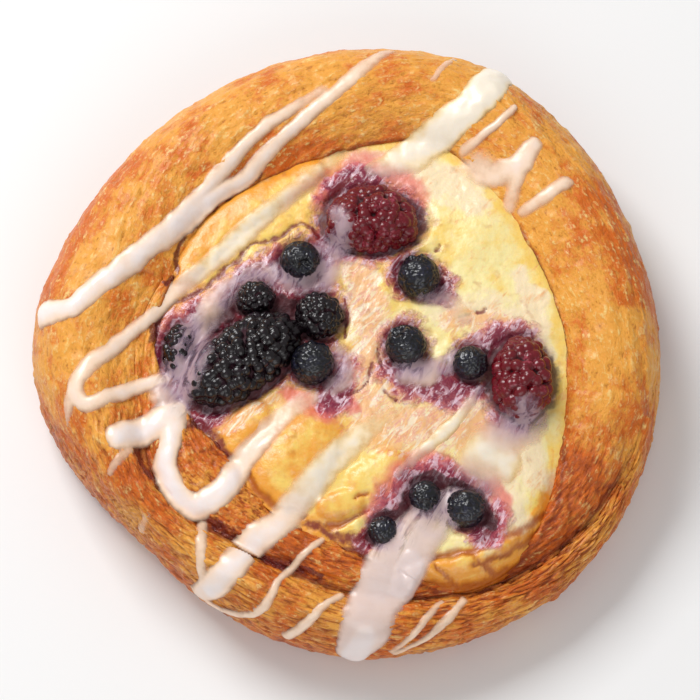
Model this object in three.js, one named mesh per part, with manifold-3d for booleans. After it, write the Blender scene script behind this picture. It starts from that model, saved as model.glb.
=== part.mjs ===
// Round danish pastry: a coil of laminated dough round a well of baked custard,
// with whole berries in the custard and drizzled icing over the top.
//
// Millimetres, +Z up. The origin is on the flat underside, at the middle of the coil.
// Angles are in degrees round +Z from +X. The coil is followed by its winding angle:
// one strand closes the ring from COIL_START to SEAM_START, and from SEAM_START to
// SEAM_END its tail lies outside the first turn, with a crease between the two.
import * as THREE from 'three';
import { mergeVertices } from 'three/addons/utils/BufferGeometryUtils.js';
import Module from 'manifold-3d';

const wasm = await Module();
wasm.setup();

// Outer radius of the coil at its bulge, at equal steps of angle from +X.
const OUTLINE = [61.2, 61.5, 64, 66, 64.2, 62.2, 60.5, 61, 62.7, 59.5, 56, 58.5, 61.4, 62.4, 63.3, 62.2];
// Radius of the custard's edge, at equal steps of angle. It runs over the coil near 300 degrees.
const CUSTARD_EDGE = [41.5, 40, 41, 44, 39.5, 36.8, 37, 36.5, 38.3, 36.8, 34.5, 38.5, 43.5, 55.8, 54, 45];
// Height of the custard's edge and of the coil's edge at the well, at equal steps of angle.
const CUSTARD_EDGE_HEIGHT = [21.3, 21.6, 21.8, 22, 22.2, 22.2, 22.2, 22, 21.5, 21, 20.7, 20.5, 19.5, 16, 15.5, 19];
const WELL_EDGE_HEIGHT = [21.5, 22, 22.5, 22.3, 21.8, 21.2, 18.5, 15.5];

const COIL_START = -15;
const SEAM_START = 163;
const SEAM_END = 345;
// The crease between the turns: its radius and the height of its bottom, by angle.
const SEAM_RADIUS = [
  [163, 38.2], [180, 41.2], [200, 43.8], [210, 46.2], [220, 48.2], [230, 48.5], [243, 48],
  [255, 49.2], [267, 51.4], [290, 55], [310, 57.6], [330, 59.2], [345, 59.9],
];
const SEAM_HEIGHT = [
  [163, 22], [180, 21], [200, 19.5], [225, 18.5], [250, 17], [270, 15.5], [290, 13], [310, 11.5], [325, 12.5],
  [337, 15.5], [345, 18],
];
// Height of the strand's crown by winding angle, from its inner end to its tail.
const CROWN_HEIGHT = [
  [-197, 22.3], [-160, 22.8], [-135, 22.8], [-110, 21.8], [-90, 20.5], [-70, 17.8], [-45, 17], [-15, 22.5],
  [10, 25.8], [35, 27], [100, 27.6], [170, 27], [200, 25.5], [225, 23.5], [250, 21.5], [270, 19.5],
  [290, 16.5], [310, 14.5], [325, 14.5], [337, 16.3], [345, 18.2],
];

const BULGE_HEIGHT = 9;
const BASE_INSET = 4;
const WELL_LIMIT = 46;
const WELL_FLOOR = 12;
const WELL_WALL_RUN = 7;
const LOOSE_END = 2;
const TUCKED_END = 1.5;
const CROWN_SHARE = 0.47;
const ROLL = 2.3;

const CUSTARD_MIDDLE = 23;
const CUSTARD_LAP = 1.5;
const CUSTARD_CURVE = 3;
// Where the custard has puffed up: x, y, height and radius.
const CUSTARD_PUFFS = [[-14, -26, 1.4, 8], [26, 23, 1.2, 9], [-18, 25, 0.6, 7], [27, -42, 1.2, 8]];

const GAP = 0.35;
const SECTIONS = 60;
const ICING_STEP = 4.2;

const DOUGH = new THREE.MeshStandardMaterial({ color: 0xd08a3e, roughness: 0.55, metalness: 0 });
const CUSTARD = new THREE.MeshStandardMaterial({ color: 0xf2c257, roughness: 0.4, metalness: 0 });
const BLUEBERRY = new THREE.MeshStandardMaterial({ color: 0x14141c, roughness: 0.4, metalness: 0 });
const BRAMBLE = new THREE.MeshStandardMaterial({ color: 0x1c0d18, roughness: 0.35, metalness: 0 });
const RASPBERRY = new THREE.MeshStandardMaterial({ color: 0x5c1424, roughness: 0.4, metalness: 0 });

// Berries of one smooth skin: name, middle x, y, z and radius.
const SMOOTH_BERRIES = [
  ['blueberry_upper_left', -9.8, 14.6, 23.8, 4],
  ['blueberry_upper_right', 13.5, 11.2, 23.8, 4.2],
  ['blueberry_middle', -7.3, -7.1, 23.8, 4.2],
  ['blueberry_centre', 10.9, -3.4, 23.8, 4],
  ['blueberry_right', 23.4, -6.8, 23.2, 3.4],
  ['blueberry_lower_left', 6.4, -40.2, 19.6, 2.9],
  ['blueberry_lower_middle', 14.4, -33.6, 21, 3.1],
  ['blueberry_lower_right', 22.2, -36, 20.6, 3.8],
];
// Berries of many beads: name, middle x, y, z, half length, half width, half height,
// angle of the long axis, taper towards its far end, bead radius, beads round and along.
const BEADED_BERRIES = [
  ['raspberry_top', 4.9, 23.2, 23.4, 7.4, 8.8, 6.2, -90, 0.35, 1.9, 13, 6, RASPBERRY],
  ['raspberry_right', 33.4, -9.4, 22.4, 8.2, 6.4, 6, -90, 0.25, 1.8, 11, 6, RASPBERRY],
  ['bramble_long', -20.6, -6.4, 23, 12.8, 7, 6.4, 40, 0.12, 2, 11, 8, BRAMBLE],
  ['bramble_round', -5.2, 3, 23.6, 4.5, 4.5, 4.4, 0, 0, 1.5, 9, 4, BRAMBLE],
  ['bramble_small', -18.8, 7.2, 23, 3.6, 3.5, 3.6, 0, 0, 1.3, 8, 4, BRAMBLE],
  ['bramble_left', -33.6, -3.4, 21.6, 5.3, 2.9, 3.6, 84, 0, 1.4, 8, 5, BRAMBLE],
];

// Drizzled icing: width, thickness, and the line that it follows. A point is the plan angle
// with the distance along the surface from the middle, over the crown and down the side,
// written as x and y of that polar pair.
const DRIZZLE = [
  [4.4, 1.3, [[-61.5, 3.6], [-50.7, 6.5], [-34.4, 21.4], [-13.7, 38.9], [-1.1, 49.2], [7.9, 60.6]]],
  [3.6, 1.2, [[-33, 26.5], [-26.8, 34.6], [-14.9, 44.4], [-4.5, 52.6]]],
  [3.2, 1.1, [[-4.5, 36.6], [-17.8, 23.5], [-34.4, 8.6], [-46.4, -4.5], [-53.3, -12.9], [-51.1, -16.4], [-40.7, -12.6]]],
  [3, 1, [[-53.3, -12.9], [-56.8, -19.3]]],
  [6, 1.4, [[-45.4, -23.6], [-40.6, -21.4]]],
  [5, 1.3, [[-34, -19.6], [-35, -27.9], [-29.6, -35.7], [-20.7, -26.8], [-10.1, -15.4]]],
  [4.6, 1.3, [[7.5, -17.1], [-9.2, -33.8], [-19.7, -43.9], [-27.2, -52.6], [-33.1, -57.9]]],
  [1.9, 0.9, [[-31, -60], [-22.5, -60.2], [-13.4, -50.1], [-5.5, -43.6]]],
  [10, 1.5, [[11.6, -46], [5.4, -50.5], [2.5, -56], [0.2, -67.5]]],
  [2.1, 0.9, [[-13.3, -65.4], [-7.6, -58.2], [-4.6, -54.6]]],
  [1.9, 0.9, [[20.6, -57.6], [15.7, -61.4], [9.7, -68.3]]],
  [7, 1.3, [[30.8, 57], [25, 47.4], [21, 44.8]]],
  [2, 0.9, [[32.6, 46.3], [26.3, 41]]],
  [4.6, 1.2, [[36.6, 38.2], [31.6, 34.4]]],
  [3.4, 1.1, [[42.8, 30.1], [36.4, 26.4]]],
];

const radians = THREE.MathUtils.degToRad;
const clamp = THREE.MathUtils.clamp;
const mix = THREE.MathUtils.lerp;

// Smooth closed curve through equally spaced values of one full turn.
function around(values, degrees) {
  const place = (THREE.MathUtils.euclideanModulo(degrees, 360) / 360) * values.length;
  const first = Math.floor(place);
  const t = place - first;
  const [a, b, c, d] = [-1, 0, 1, 2].map((step) => values[(first + step + values.length) % values.length]);
  return b + 0.5 * t * (c - a + t * (2 * a - 5 * b + 4 * c - d + t * (3 * (b - c) + d - a)));
}

// Smooth open curve through knots of [place, value], with slopes taken across each knot.
function through(knots, place) {
  const last = knots.length - 1;
  const at = clamp(place, knots[0][0], knots[last][0]);
  let i = 0;
  while (i < last - 1 && knots[i + 1][0] <= at) i += 1;
  const slope = (k) => {
    const before = knots[Math.max(k - 1, 0)];
    const after = knots[Math.min(k + 1, last)];
    return (after[1] - before[1]) / (after[0] - before[0]);
  };
  const span = knots[i + 1][0] - knots[i][0];
  const t = (at - knots[i][0]) / span;
  const u = 1 - t;
  const ends = knots[i][1] * (1 + 2 * t) * u * u + knots[i + 1][1] * t * t * (3 - 2 * t);
  return ends + span * t * u * (slope(i) * u - slope(i + 1) * t);
}

const windingAngle = (degrees) => THREE.MathUtils.euclideanModulo(degrees - COIL_START, 360) + COIL_START;
const outlineRadius = (degrees) => around(OUTLINE, degrees);
const custardRadius = (degrees) => around(CUSTARD_EDGE, degrees);
const wellRadius = (degrees) => Math.min(custardRadius(degrees), WELL_LIMIT);

// Radius of the crease. Where there is one strand only, the line of vertices that
// marks the crease slides over its back, from the tail to where the tail begins.
function seamRadius(degrees) {
  const turn = windingAngle(degrees);
  if (turn > SEAM_START) return through(SEAM_RADIUS, turn);
  const share = (turn - COIL_START) / (SEAM_START - COIL_START);
  return mix(outlineRadius(turn) - LOOSE_END, wellRadius(turn) + TUCKED_END, share);
}

// Height of a rolled flank: from high at share 0 to low at share 1.
const flank = (share, low, high, power, root) =>
  low + (high - low) * (1 - clamp(share, 0, 1) ** power) ** (1 / root);

// Height of one strand's back at radius r, between its inner and outer edges.
function strandHeight(r, strand) {
  const { inner, outer, innerHeight, crown, outerHeight, innerRoot } = strand;
  const ridge = mix(inner, outer, CROWN_SHARE);
  if (r < ridge) return flank((ridge - r) / (ridge - inner), innerHeight, crown, 2, innerRoot);
  return flank((r - ridge) / (outer - ridge), outerHeight, crown, ROLL, ROLL);
}

// Height of the dough's upper face, outside the well.
function doughHeight(degrees, r) {
  const turn = windingAngle(degrees);
  const well = wellRadius(turn);
  const outline = outlineRadius(turn);
  const edge = around(WELL_EDGE_HEIGHT, turn);
  const ends = { innerHeight: edge, outerHeight: BULGE_HEIGHT, innerRoot: 1 };
  if (turn <= SEAM_START) {
    return strandHeight(r, { ...ends, inner: well, outer: outline, crown: through(CROWN_HEIGHT, turn) });
  }
  const seam = seamRadius(turn);
  const crease = through(SEAM_HEIGHT, turn);
  if (r < seam) {
    const crown = through(CROWN_HEIGHT, turn - 360);
    return strandHeight(r, { inner: well, outer: seam, innerHeight: edge, crown, outerHeight: crease, innerRoot: 1.2 });
  }
  const innerRoot = 1 + clamp((turn - SEAM_START) / 35, 0, 1);
  return strandHeight(r, { ...ends, inner: seam, outer: outline, innerHeight: crease, crown: through(CROWN_HEIGHT, turn), innerRoot });
}

// Radius of the crown of the outermost strand.
function crownRadius(degrees) {
  const inner = windingAngle(degrees) > SEAM_START ? seamRadius(degrees) : wellRadius(degrees);
  return mix(inner, outlineRadius(degrees), CROWN_SHARE);
}

// Height of the custard's upper face: a broad cushion with soft puffs.
function custardHeight(degrees, r) {
  const edge = around(CUSTARD_EDGE_HEIGHT, degrees);
  const share = r / custardRadius(degrees);
  const x = r * Math.cos(radians(degrees));
  const y = r * Math.sin(radians(degrees));
  return CUSTARD_PUFFS.reduce(
    (height, [px, py, rise, radius]) => height + rise * Math.exp(-((x - px) ** 2 + (y - py) ** 2) / radius ** 2),
    edge + (CUSTARD_MIDDLE - edge) * (1 - share ** CUSTARD_CURVE),
  );
}

// Even steps of a quarter turn, as [sine, cosine], without its start.
const quarter = (steps) =>
  Array.from({ length: steps }, (_, k) => ((k + 1) / steps) * (Math.PI / 2)).map((a) => [Math.sin(a), Math.cos(a)]);

// The section of the dough from the middle of its underside to the middle of the well floor.
function doughSection(degrees) {
  const outline = outlineRadius(degrees);
  const seam = seamRadius(degrees);
  const ridge = mix(seam, outline, 0.5);
  const well = wellRadius(degrees);
  const edge = around(WELL_EDGE_HEIGHT, degrees);
  const onTop = (r) => [r, doughHeight(degrees, r)];
  return [
    [0, 0],
    [outline - BASE_INSET, 0],
    ...quarter(3).map(([sine, cosine]) => [outline - BASE_INSET * (1 - sine), BULGE_HEIGHT * (1 - cosine)]),
    ...quarter(5).map(([sine, cosine]) => onTop(ridge + (outline - ridge) * Math.min(cosine ** 0.87, 1 - 0.01 * sine))),
    ...[0.4, 0.8].map((share) => onTop(mix(ridge, seam, share))),
    onTop(seam),
    ...[0.2, 0.5, 0.8].map((share) => onTop(mix(seam, well, share))),
    [well, edge],
    ...quarter(3).map(([sine, cosine]) => [well - WELL_WALL_RUN * (1 - cosine), edge - (edge - WELL_FLOOR) * sine]),
    [0, WELL_FLOOR],
  ];
}

// The section of the custard before the dough and the berries are cut out of it.
function custardSection(degrees) {
  const outer = Math.max(custardRadius(degrees), wellRadius(degrees) + CUSTARD_LAP);
  const rim = custardHeight(degrees, outer);
  const lip = Math.min(2.6, rim - WELL_FLOOR);
  const onTop = (share) => [outer * share, custardHeight(degrees, outer * share)];
  return [
    [0, WELL_FLOOR - 1],
    [outer * 0.9, WELL_FLOOR - 1],
    [outer - 0.6, rim - lip],
    [outer, rim - lip * 0.5],
    [outer - 0.5, rim - 0.1],
    ...[0.95, 0.86, 0.72, 0.55, 0.36, 0.18].map(onTop),
    [0, custardHeight(degrees, 0)],
  ];
}

// Moves the points of a section outwards along its normals.
function grownSection(section, distance) {
  const last = section.length - 1;
  return section.map(([r, z], i) => {
    const before = section[Math.max(i - 1, 0)];
    const after = section[Math.min(i + 1, last)];
    const length = Math.hypot(after[0] - before[0], after[1] - before[1]);
    const across = i === 0 || i === last ? 0 : (distance * (after[1] - before[1])) / length;
    const up = (distance * (before[0] - after[0])) / length;
    return [r + across, z + up];
  });
}

// A body from a grid of points whose first and last columns are single points: rows run
// round the body, columns from its lower pole to its upper one.
function roundedBody(rows) {
  const columns = rows[0].length - 2;
  const vertices = [rows[0][0], ...rows.flatMap((row) => row.slice(1, -1)), rows[0][columns + 1]];
  const top = vertices.length - 1;
  const at = (row, column) => 1 + (row % rows.length) * columns + column;
  const faces = [];
  rows.forEach((_, row) => {
    faces.push(0, at(row + 1, 0), at(row, 0), top, at(row, columns - 1), at(row + 1, columns - 1));
    for (let column = 0; column < columns - 1; column += 1) {
      const corners = [at(row, column), at(row + 1, column), at(row + 1, column + 1), at(row, column + 1)];
      faces.push(corners[0], corners[1], corners[2], corners[0], corners[2], corners[3]);
    }
  });
  const geometry = new THREE.BufferGeometry();
  geometry.setAttribute('position', new THREE.Float32BufferAttribute(vertices.flat(), 3));
  geometry.setIndex(faces);
  return geometry;
}

// A body turned from a section that changes with the angle.
function turnedBody(section, distance = 0) {
  const rows = Array.from({ length: SECTIONS }, (_, i) => {
    const degrees = (i / SECTIONS) * 360 + COIL_START;
    const [cosine, sine] = [Math.cos(radians(degrees)), Math.sin(radians(degrees))];
    return grownSection(section(degrees), distance).map(([r, z]) => [r * cosine, r * sine, z]);
  });
  return roundedBody(rows);
}

const toSolid = (geometry) => {
  const bare = geometry.clone();
  bare.deleteAttribute('normal');
  bare.deleteAttribute('uv');
  const merged = mergeVertices(bare, 1e-4);
  return new wasm.Manifold(
    new wasm.Mesh({
      numProp: 3,
      vertProperties: Float32Array.from(merged.attributes.position.array),
      triVerts: Uint32Array.from(merged.index.array),
    }),
  );
};

const toGeometry = (solid) => {
  const mesh = solid.getMesh();
  const geometry = new THREE.BufferGeometry();
  geometry.setAttribute('position', new THREE.BufferAttribute(mesh.vertProperties, 3));
  geometry.setIndex(new THREE.BufferAttribute(mesh.triVerts, 1));
  geometry.computeVertexNormals();
  return geometry;
};

// The largest piece of a solid, without the scraps that a cut leaves.
const mainPiece = (solid) => solid.decompose().reduce((a, b) => (a.volume() > b.volume() ? a : b));

// A point of the visible surface and its outward normal, from the plan angle and the
// distance along the surface from the middle.
function surfacePoint(degrees, distance) {
  const crown = crownRadius(degrees);
  const outline = outlineRadius(degrees);
  const crownTop = doughHeight(degrees, crown);
  const profile = [[0, custardHeight(degrees, 0)]];
  if (distance < crown) {
    const inCustard = distance < custardRadius(degrees);
    const height = (r) => (inCustard ? custardHeight(degrees, r) : doughHeight(degrees, r));
    const slope = height(distance + 0.5) - height(distance - 0.5);
    return { r: distance, z: height(distance), normal: [-slope, 1] };
  }
  profile[0] = [crown, crownTop];
  quarter(24).forEach(([sine, cosine]) => {
    const rise = cosine ** (2 / ROLL);
    profile.push([crown + (outline - crown) * sine ** (2 / ROLL), BULGE_HEIGHT + (crownTop - BULGE_HEIGHT) * rise]);
  });
  quarter(8).forEach(([sine, cosine]) => {
    profile.push([outline - BASE_INSET * (1 - cosine), BULGE_HEIGHT * (1 - sine)]);
  });
  let left = distance - crown;
  for (let i = 1; i < profile.length; i += 1) {
    const [dr, dz] = [profile[i][0] - profile[i - 1][0], profile[i][1] - profile[i - 1][1]];
    const step = Math.hypot(dr, dz);
    if (left <= step || i === profile.length - 1) {
      const share = Math.min(left / step, 1);
      return { r: profile[i - 1][0] + dr * share, z: profile[i - 1][1] + dz * share, normal: [-dz, dr] };
    }
    left -= step;
  }
  return null;
}

// Lifts a point of the unrolled surface by a height along its normal.
function lifted(x, y, height) {
  const degrees = THREE.MathUtils.radToDeg(Math.atan2(y, x));
  const { r, z, normal } = surfacePoint(degrees, Math.hypot(x, y));
  const length = Math.hypot(...normal);
  const radius = r + (normal[0] / length) * height;
  return [radius * Math.cos(radians(degrees)), radius * Math.sin(radians(degrees)), z + (normal[1] / length) * height];
}

// A line of icing: a low rounded ridge with its foot sunk into the surface.
function icingRidge([width, thickness, line]) {
  const curve = new THREE.CatmullRomCurve3(line.map(([x, y]) => new THREE.Vector3(x, y, 0)), false, 'centripetal');
  const steps = Math.max(3, Math.round(curve.getLength() / ICING_STEP));
  const foot = -0.8;
  const ridge = [[0, foot], [0.5, foot / 2], [0.3, thickness * 0.9], [-0.3, thickness * 0.9], [-0.5, foot / 2]];
  const rings = curve.getSpacedPoints(steps).map((point, i) => {
    const along = curve.getTangentAt(i / steps);
    const narrow = i === 0 || i === steps ? 0.6 : 1;
    return ridge.map(([across, height]) => {
      const offset = across * width * narrow;
      return lifted(point.x - along.y * offset, point.y + along.x * offset, height * (height > 0 ? narrow : 1));
    });
  });
  const middle = (ring) => [0, 1, 2].map((axis) => ring.reduce((sum, point) => sum + point[axis], 0) / ring.length);
  const rows = ridge.map((_, k) => [middle(rings[0]), ...rings.map((ring) => ring[k]), middle(rings[steps])]);
  return roundedBody(rows);
}

// A berry of one smooth skin, with the ring of its calyx round a small hollow.
function smoothBerry(radius, tilt, turn) {
  const profile = [[0, -1], [0.5, -0.87], [0.87, -0.5], [1, 0], [0.87, 0.52], [0.48, 0.84], [0.34, 0.98], [0.2, 0.8], [0, 0.74]];
  const points = profile.map(([r, z]) => new THREE.Vector2(r * radius, z * radius));
  return new THREE.LatheGeometry(points, 12).rotateX(Math.PI / 2).rotateX(radians(tilt)).rotateZ(radians(turn));
}

// A berry of many beads: in each direction its skin lies on the bead that reaches furthest.
function beadedBerry(halfLength, halfWidth, halfHeight, taper, bead, beadsRound, beadsAlong) {
  const beads = [];
  for (let row = 0; row < beadsAlong; row += 1) {
    const polar = ((row + 0.5) / beadsAlong) * Math.PI;
    const count = Math.max(1, Math.round(beadsRound * Math.sin(polar)));
    const slim = 1 - taper * (0.5 - 0.5 * Math.cos(polar));
    for (let k = 0; k < count; k += 1) {
      const angle = ((k + (row % 2) / 2) / count) * 2 * Math.PI;
      beads.push([
        Math.cos(polar) * (halfLength - bead),
        Math.sin(polar) * Math.cos(angle) * (halfWidth - bead) * slim,
        Math.sin(polar) * Math.sin(angle) * (halfHeight - bead) * slim,
      ]);
    }
  }
  const core = 0.9;
  const reach = (direction) => {
    const slim = 1 - taper * (0.5 + 0.5 * direction[0]);
    const scaled = [direction[0] / halfLength, direction[1] / (halfWidth * slim), direction[2] / (halfHeight * slim)];
    let longest = core / Math.hypot(...scaled);
    beads.forEach((centre) => {
      const along = direction[0] * centre[0] + direction[1] * centre[1] + direction[2] * centre[2];
      const inside = along ** 2 - (centre[0] ** 2 + centre[1] ** 2 + centre[2] ** 2) + bead ** 2;
      if (inside > 0) longest = Math.max(longest, along + Math.sqrt(inside));
    });
    return longest;
  };
  const around = 2 * beadsRound + 2;
  const along = Math.round(1.7 * beadsAlong) + 2;
  const rows = Array.from({ length: around }, (_, i) =>
    Array.from({ length: along + 1 }, (__, j) => {
      const [turn, polar] = [(i / around) * 2 * Math.PI, (j / along) * Math.PI];
      const direction = [-Math.cos(polar), Math.sin(polar) * Math.cos(turn), Math.sin(polar) * Math.sin(turn)];
      const length = reach(direction);
      return direction.map((part) => part * length);
    }),
  );
  return roundedBody(rows);
}

// The hollow that a berry needs in the custard: an ellipsoid just larger than the berry.
function pocket(x, y, z, halfLength, halfWidth, halfHeight, degrees) {
  const shape = new THREE.SphereGeometry(1, 12, 8);
  const swell = 1.06;
  shape.scale(halfLength * swell + GAP, halfWidth * swell + GAP, halfHeight * swell + GAP);
  return toSolid(shape.rotateZ(radians(degrees)).translate(x, y, z));
}

const danish = new THREE.Group();
const pockets = [];

function addPiece(name, geometry, material) {
  const mesh = new THREE.Mesh(geometry, material);
  mesh.name = name;
  danish.add(mesh);
  return mesh;
}

SMOOTH_BERRIES.forEach(([name, x, y, z, radius], i) => {
  const berry = addPiece(name, smoothBerry(radius, 28, 110 * i), BLUEBERRY);
  berry.position.set(x, y, z);
  pockets.push(pocket(x, y, z, radius, radius, radius, 0));
});

BEADED_BERRIES.forEach(([name, x, y, z, halfLength, halfWidth, halfHeight, degrees, taper, bead, round, along, material]) => {
  const berry = addPiece(name, beadedBerry(halfLength, halfWidth, halfHeight, taper, bead, round, along), material);
  berry.position.set(x, y, z);
  berry.rotation.z = radians(degrees);
  pockets.push(pocket(x, y, z, halfLength, halfWidth, halfHeight, degrees));
});

// The upright column over the custard, out to its edge or a little inside or outside it.
function custardColumn(distance) {
  const reach = (degrees) => Math.max(custardRadius(degrees), 1) + distance;
  return toSolid(turnedBody((degrees) => [[0, 2], [reach(degrees), 2], [reach(degrees), 60], [0, 60]]));
}

const ridges = wasm.Manifold.union(DRIZZLE.map((line) => toSolid(icingRidge(line))));
const hollows = wasm.Manifold.union(pockets);
const doughCore = toSolid(turnedBody(doughSection));
const grownDough = toSolid(turnedBody(doughSection, GAP));
const doughRidges = ridges.subtract(custardColumn(GAP + 0.3));
const custardRidges = ridges.intersect(custardColumn(-GAP));

const dough = mainPiece(doughCore.add(doughRidges));
const custard = mainPiece(toSolid(turnedBody(custardSection)).add(custardRidges).subtract(grownDough).subtract(hollows));

addPiece('pastry', toGeometry(dough), DOUGH);
addPiece('custard', toGeometry(custard), CUSTARD);

export default danish;
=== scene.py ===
"""A round danish pastry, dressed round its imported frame.

The pastry is a coil of laminated dough round a well of baked custard, with whole
berries in the custard and icing drizzled over the top. Lengths are millimetres in
the frame's own axes, and become metres only when a mesh is made. Angles are degrees
round +Z from +X.
"""

import logging
import math
from dataclasses import dataclass, field
from enum import Enum, IntEnum

import bpy
import numpy as np
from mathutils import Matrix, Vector

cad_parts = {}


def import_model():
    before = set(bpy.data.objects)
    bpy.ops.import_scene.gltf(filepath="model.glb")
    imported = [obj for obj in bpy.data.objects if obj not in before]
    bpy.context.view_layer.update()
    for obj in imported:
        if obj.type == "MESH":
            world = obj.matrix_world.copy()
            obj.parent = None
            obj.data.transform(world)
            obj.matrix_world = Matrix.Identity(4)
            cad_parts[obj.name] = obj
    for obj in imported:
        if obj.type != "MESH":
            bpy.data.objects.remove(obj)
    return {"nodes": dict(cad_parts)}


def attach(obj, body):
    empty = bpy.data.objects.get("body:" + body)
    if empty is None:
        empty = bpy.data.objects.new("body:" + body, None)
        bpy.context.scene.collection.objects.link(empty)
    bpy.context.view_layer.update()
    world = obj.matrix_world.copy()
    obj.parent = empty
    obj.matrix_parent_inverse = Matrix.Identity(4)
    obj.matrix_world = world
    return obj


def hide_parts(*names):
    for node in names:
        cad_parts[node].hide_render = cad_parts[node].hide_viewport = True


Array = np.ndarray
Knots = tuple[tuple[float, float], ...]

MM = 0.001
BODY = "root"
BLUR_REACH = 2.5  # standard deviations to which a blur is worked out
FAR = 3.0  # the share that stands for any place well off a line
LINE_REACH = 2.2  # half widths round a line within which its share is worked out
BACK_SHARE = 0.92  # how far the icing sinks round a berry: the height of its back over its own

log = logging.getLogger("danish")


class Slot(str, Enum):
    """The record's material slots."""

    CRUST = "crust"
    CUSTARD = "custard"
    ICING = "icing"
    RASPBERRY = "raspberry"
    BRAMBLE = "bramble"
    BLUEBERRY = "blueberry"


class Seed(IntEnum):
    """The seed of each noise, so that it comes out the same each time."""

    SHINGLES = 3
    CRACKS = 4
    SMOOTH_BLOOM = 5
    BEADED_BLOOM = 9
    SKIN_FOLDS = 11
    SKIN_WRINKLES = 12
    SWELL = 21
    BLISTERS = 22
    STREAKS = 23
    PITS = 24
    FLAKES = 25
    CRATERS = 26
    CRUST_BAKE = 32
    CRUST_MOTTLE = 33
    MARKS_X = 41
    MARKS_Y = 42
    RIPPLES = 51
    FINE_RIPPLES = 52
    CUSTARD_BAKE = 53
    SPOTS = 54
    PATCHES = 55
    BEADED_SAG = 60
    ICING_X = 61
    ICING_X_FINE = 62
    ICING_Y = 63
    ICING_Y_FINE = 64
    ICING_DEPTH = 65
    GLAZE_DEPTH = 66


def around(values: tuple[float, ...], degrees: Array) -> Array:
    """A smooth closed curve through equally spaced values of one full turn.

    Args:
        values: the values at equal steps of angle, from 0 degrees.
        degrees: the angles to read it at.

    Returns:
        The cubic through the four values round each angle.
    """
    table = np.asarray(values, float)
    count = len(table)
    place = np.mod(degrees, 360.0) / 360.0 * count
    first = np.floor(place).astype(int)
    t = place - first
    a, b, c, d = (table[(first + step) % count] for step in (-1, 0, 1, 2))
    return b + 0.5 * t * (c - a + t * (2 * a - 5 * b + 4 * c - d + t * (3 * (b - c) + d - a)))


def through(knots: Knots, at: Array) -> Array:
    """A smooth open curve through knots, with slopes taken across each knot.

    Args:
        knots: pairs of place and value, in order of place.
        at: the places to read it at; outside the knots the end values hold.

    Returns:
        The Hermite cubic between the two knots round each place.
    """
    places, values = np.asarray(knots, float).T
    slopes = np.empty_like(values)
    slopes[1:-1] = (values[2:] - values[:-2]) / (places[2:] - places[:-2])
    slopes[0] = (values[1] - values[0]) / (places[1] - places[0])
    slopes[-1] = (values[-1] - values[-2]) / (places[-1] - places[-2])
    at = np.clip(at, places[0], places[-1])
    i = np.clip(np.searchsorted(places, at, side="right") - 1, 0, len(places) - 2)
    span = places[i + 1] - places[i]
    t = (at - places[i]) / span
    u = 1 - t
    ends = values[i] * (1 + 2 * t) * u * u + values[i + 1] * t * t * (3 - 2 * t)
    return ends + span * t * u * (slopes[i] * u - slopes[i + 1] * t)


def smooth_step(low: float, high: float, value: Array) -> Array:
    """A soft rise from 0 at low to 1 at high."""
    t = np.clip((value - low) / (high - low), 0.0, 1.0)
    return t * t * (3 - 2 * t)


def turned(first: Array, second: Array, degrees: float) -> tuple[Array, Array]:
    """Two coordinates turned in their plane, from the first axis towards the second.

    Args:
        first: first coordinate.
        second: second coordinate.
        degrees: the angle of the turn.

    Returns:
        The coordinates (a cos - b sin, a sin + b cos).
    """
    angle = math.radians(degrees)
    cosine = math.cos(angle)
    sine = math.sin(angle)
    return first * cosine - second * sine, first * sine + second * cosine


def sphere(rows: int, columns: int) -> tuple[Array, Array, Array]:
    """Unit directions (sin p cos t, sin p sin t, -cos p) on a grid of turns t and polar angles p.

    Args:
        rows: how many turns there are, round +Z.
        columns: how many polar angles there are, from the lower pole to the upper one.

    Returns:
        The turns as a column, the polar angles as a row, and the directions as a grid.
    """
    turn = np.linspace(0, 2 * math.pi, rows, endpoint=False)[:, None]
    polar = np.linspace(0, math.pi, columns)[None, :]
    x = np.sin(polar) * np.cos(turn)
    y = np.sin(polar) * np.sin(turn)
    return turn, polar, np.stack([x, y, -np.cos(polar) + 0 * turn], axis=-1)


@dataclass(frozen=True)
class Grain:
    """Seeded gradient noise in three dimensions."""

    seed: int
    table: int = 256
    gain: float = 1.6
    shift: float = 7.3

    def at(self, points: Array, size: float) -> Array:
        """One octave: corner gradients dotted with the offsets, blended by a quintic.

        Args:
            points: an array of points, with its last axis x, y and z.
            size: the length of one cell.

        Returns:
            Values of about -1 to 1, one for each point.
        """
        draw = np.random.default_rng(self.seed)
        order = np.concatenate([draw.permutation(self.table)] * 2)
        gradients = draw.normal(size=(self.table, 3))
        gradients /= np.linalg.norm(gradients, axis=1, keepdims=True)
        scaled = points / size
        cell = np.floor(scaled).astype(int)
        offset = scaled - cell
        blend = offset ** 3 * (offset * (offset * 6 - 15) + 10)
        total = np.zeros(points.shape[:-1])
        for corner in np.ndindex(2, 2, 2):
            x, y, z = (np.mod(cell[..., axis] + corner[axis], self.table) for axis in range(3))
            pick = gradients[order[order[order[x] + y] + z]]
            weight = np.ones(points.shape[:-1])
            for axis in range(3):
                side = blend[..., axis]
                weight = weight * (side if corner[axis] else 1 - side)
            total += weight * ((offset - np.array(corner)) * pick).sum(axis=-1)
        return total * self.gain

    def octaves(self, points: Array, size: float, count: int) -> Array:
        """Several octaves, each half the size and half the strength of the last."""
        layers = [self.at(points + self.shift * k, size / 2 ** k) * 0.5 ** k for k in range(count)]
        return sum(layers) / sum(0.5 ** k for k in range(count))


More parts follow.
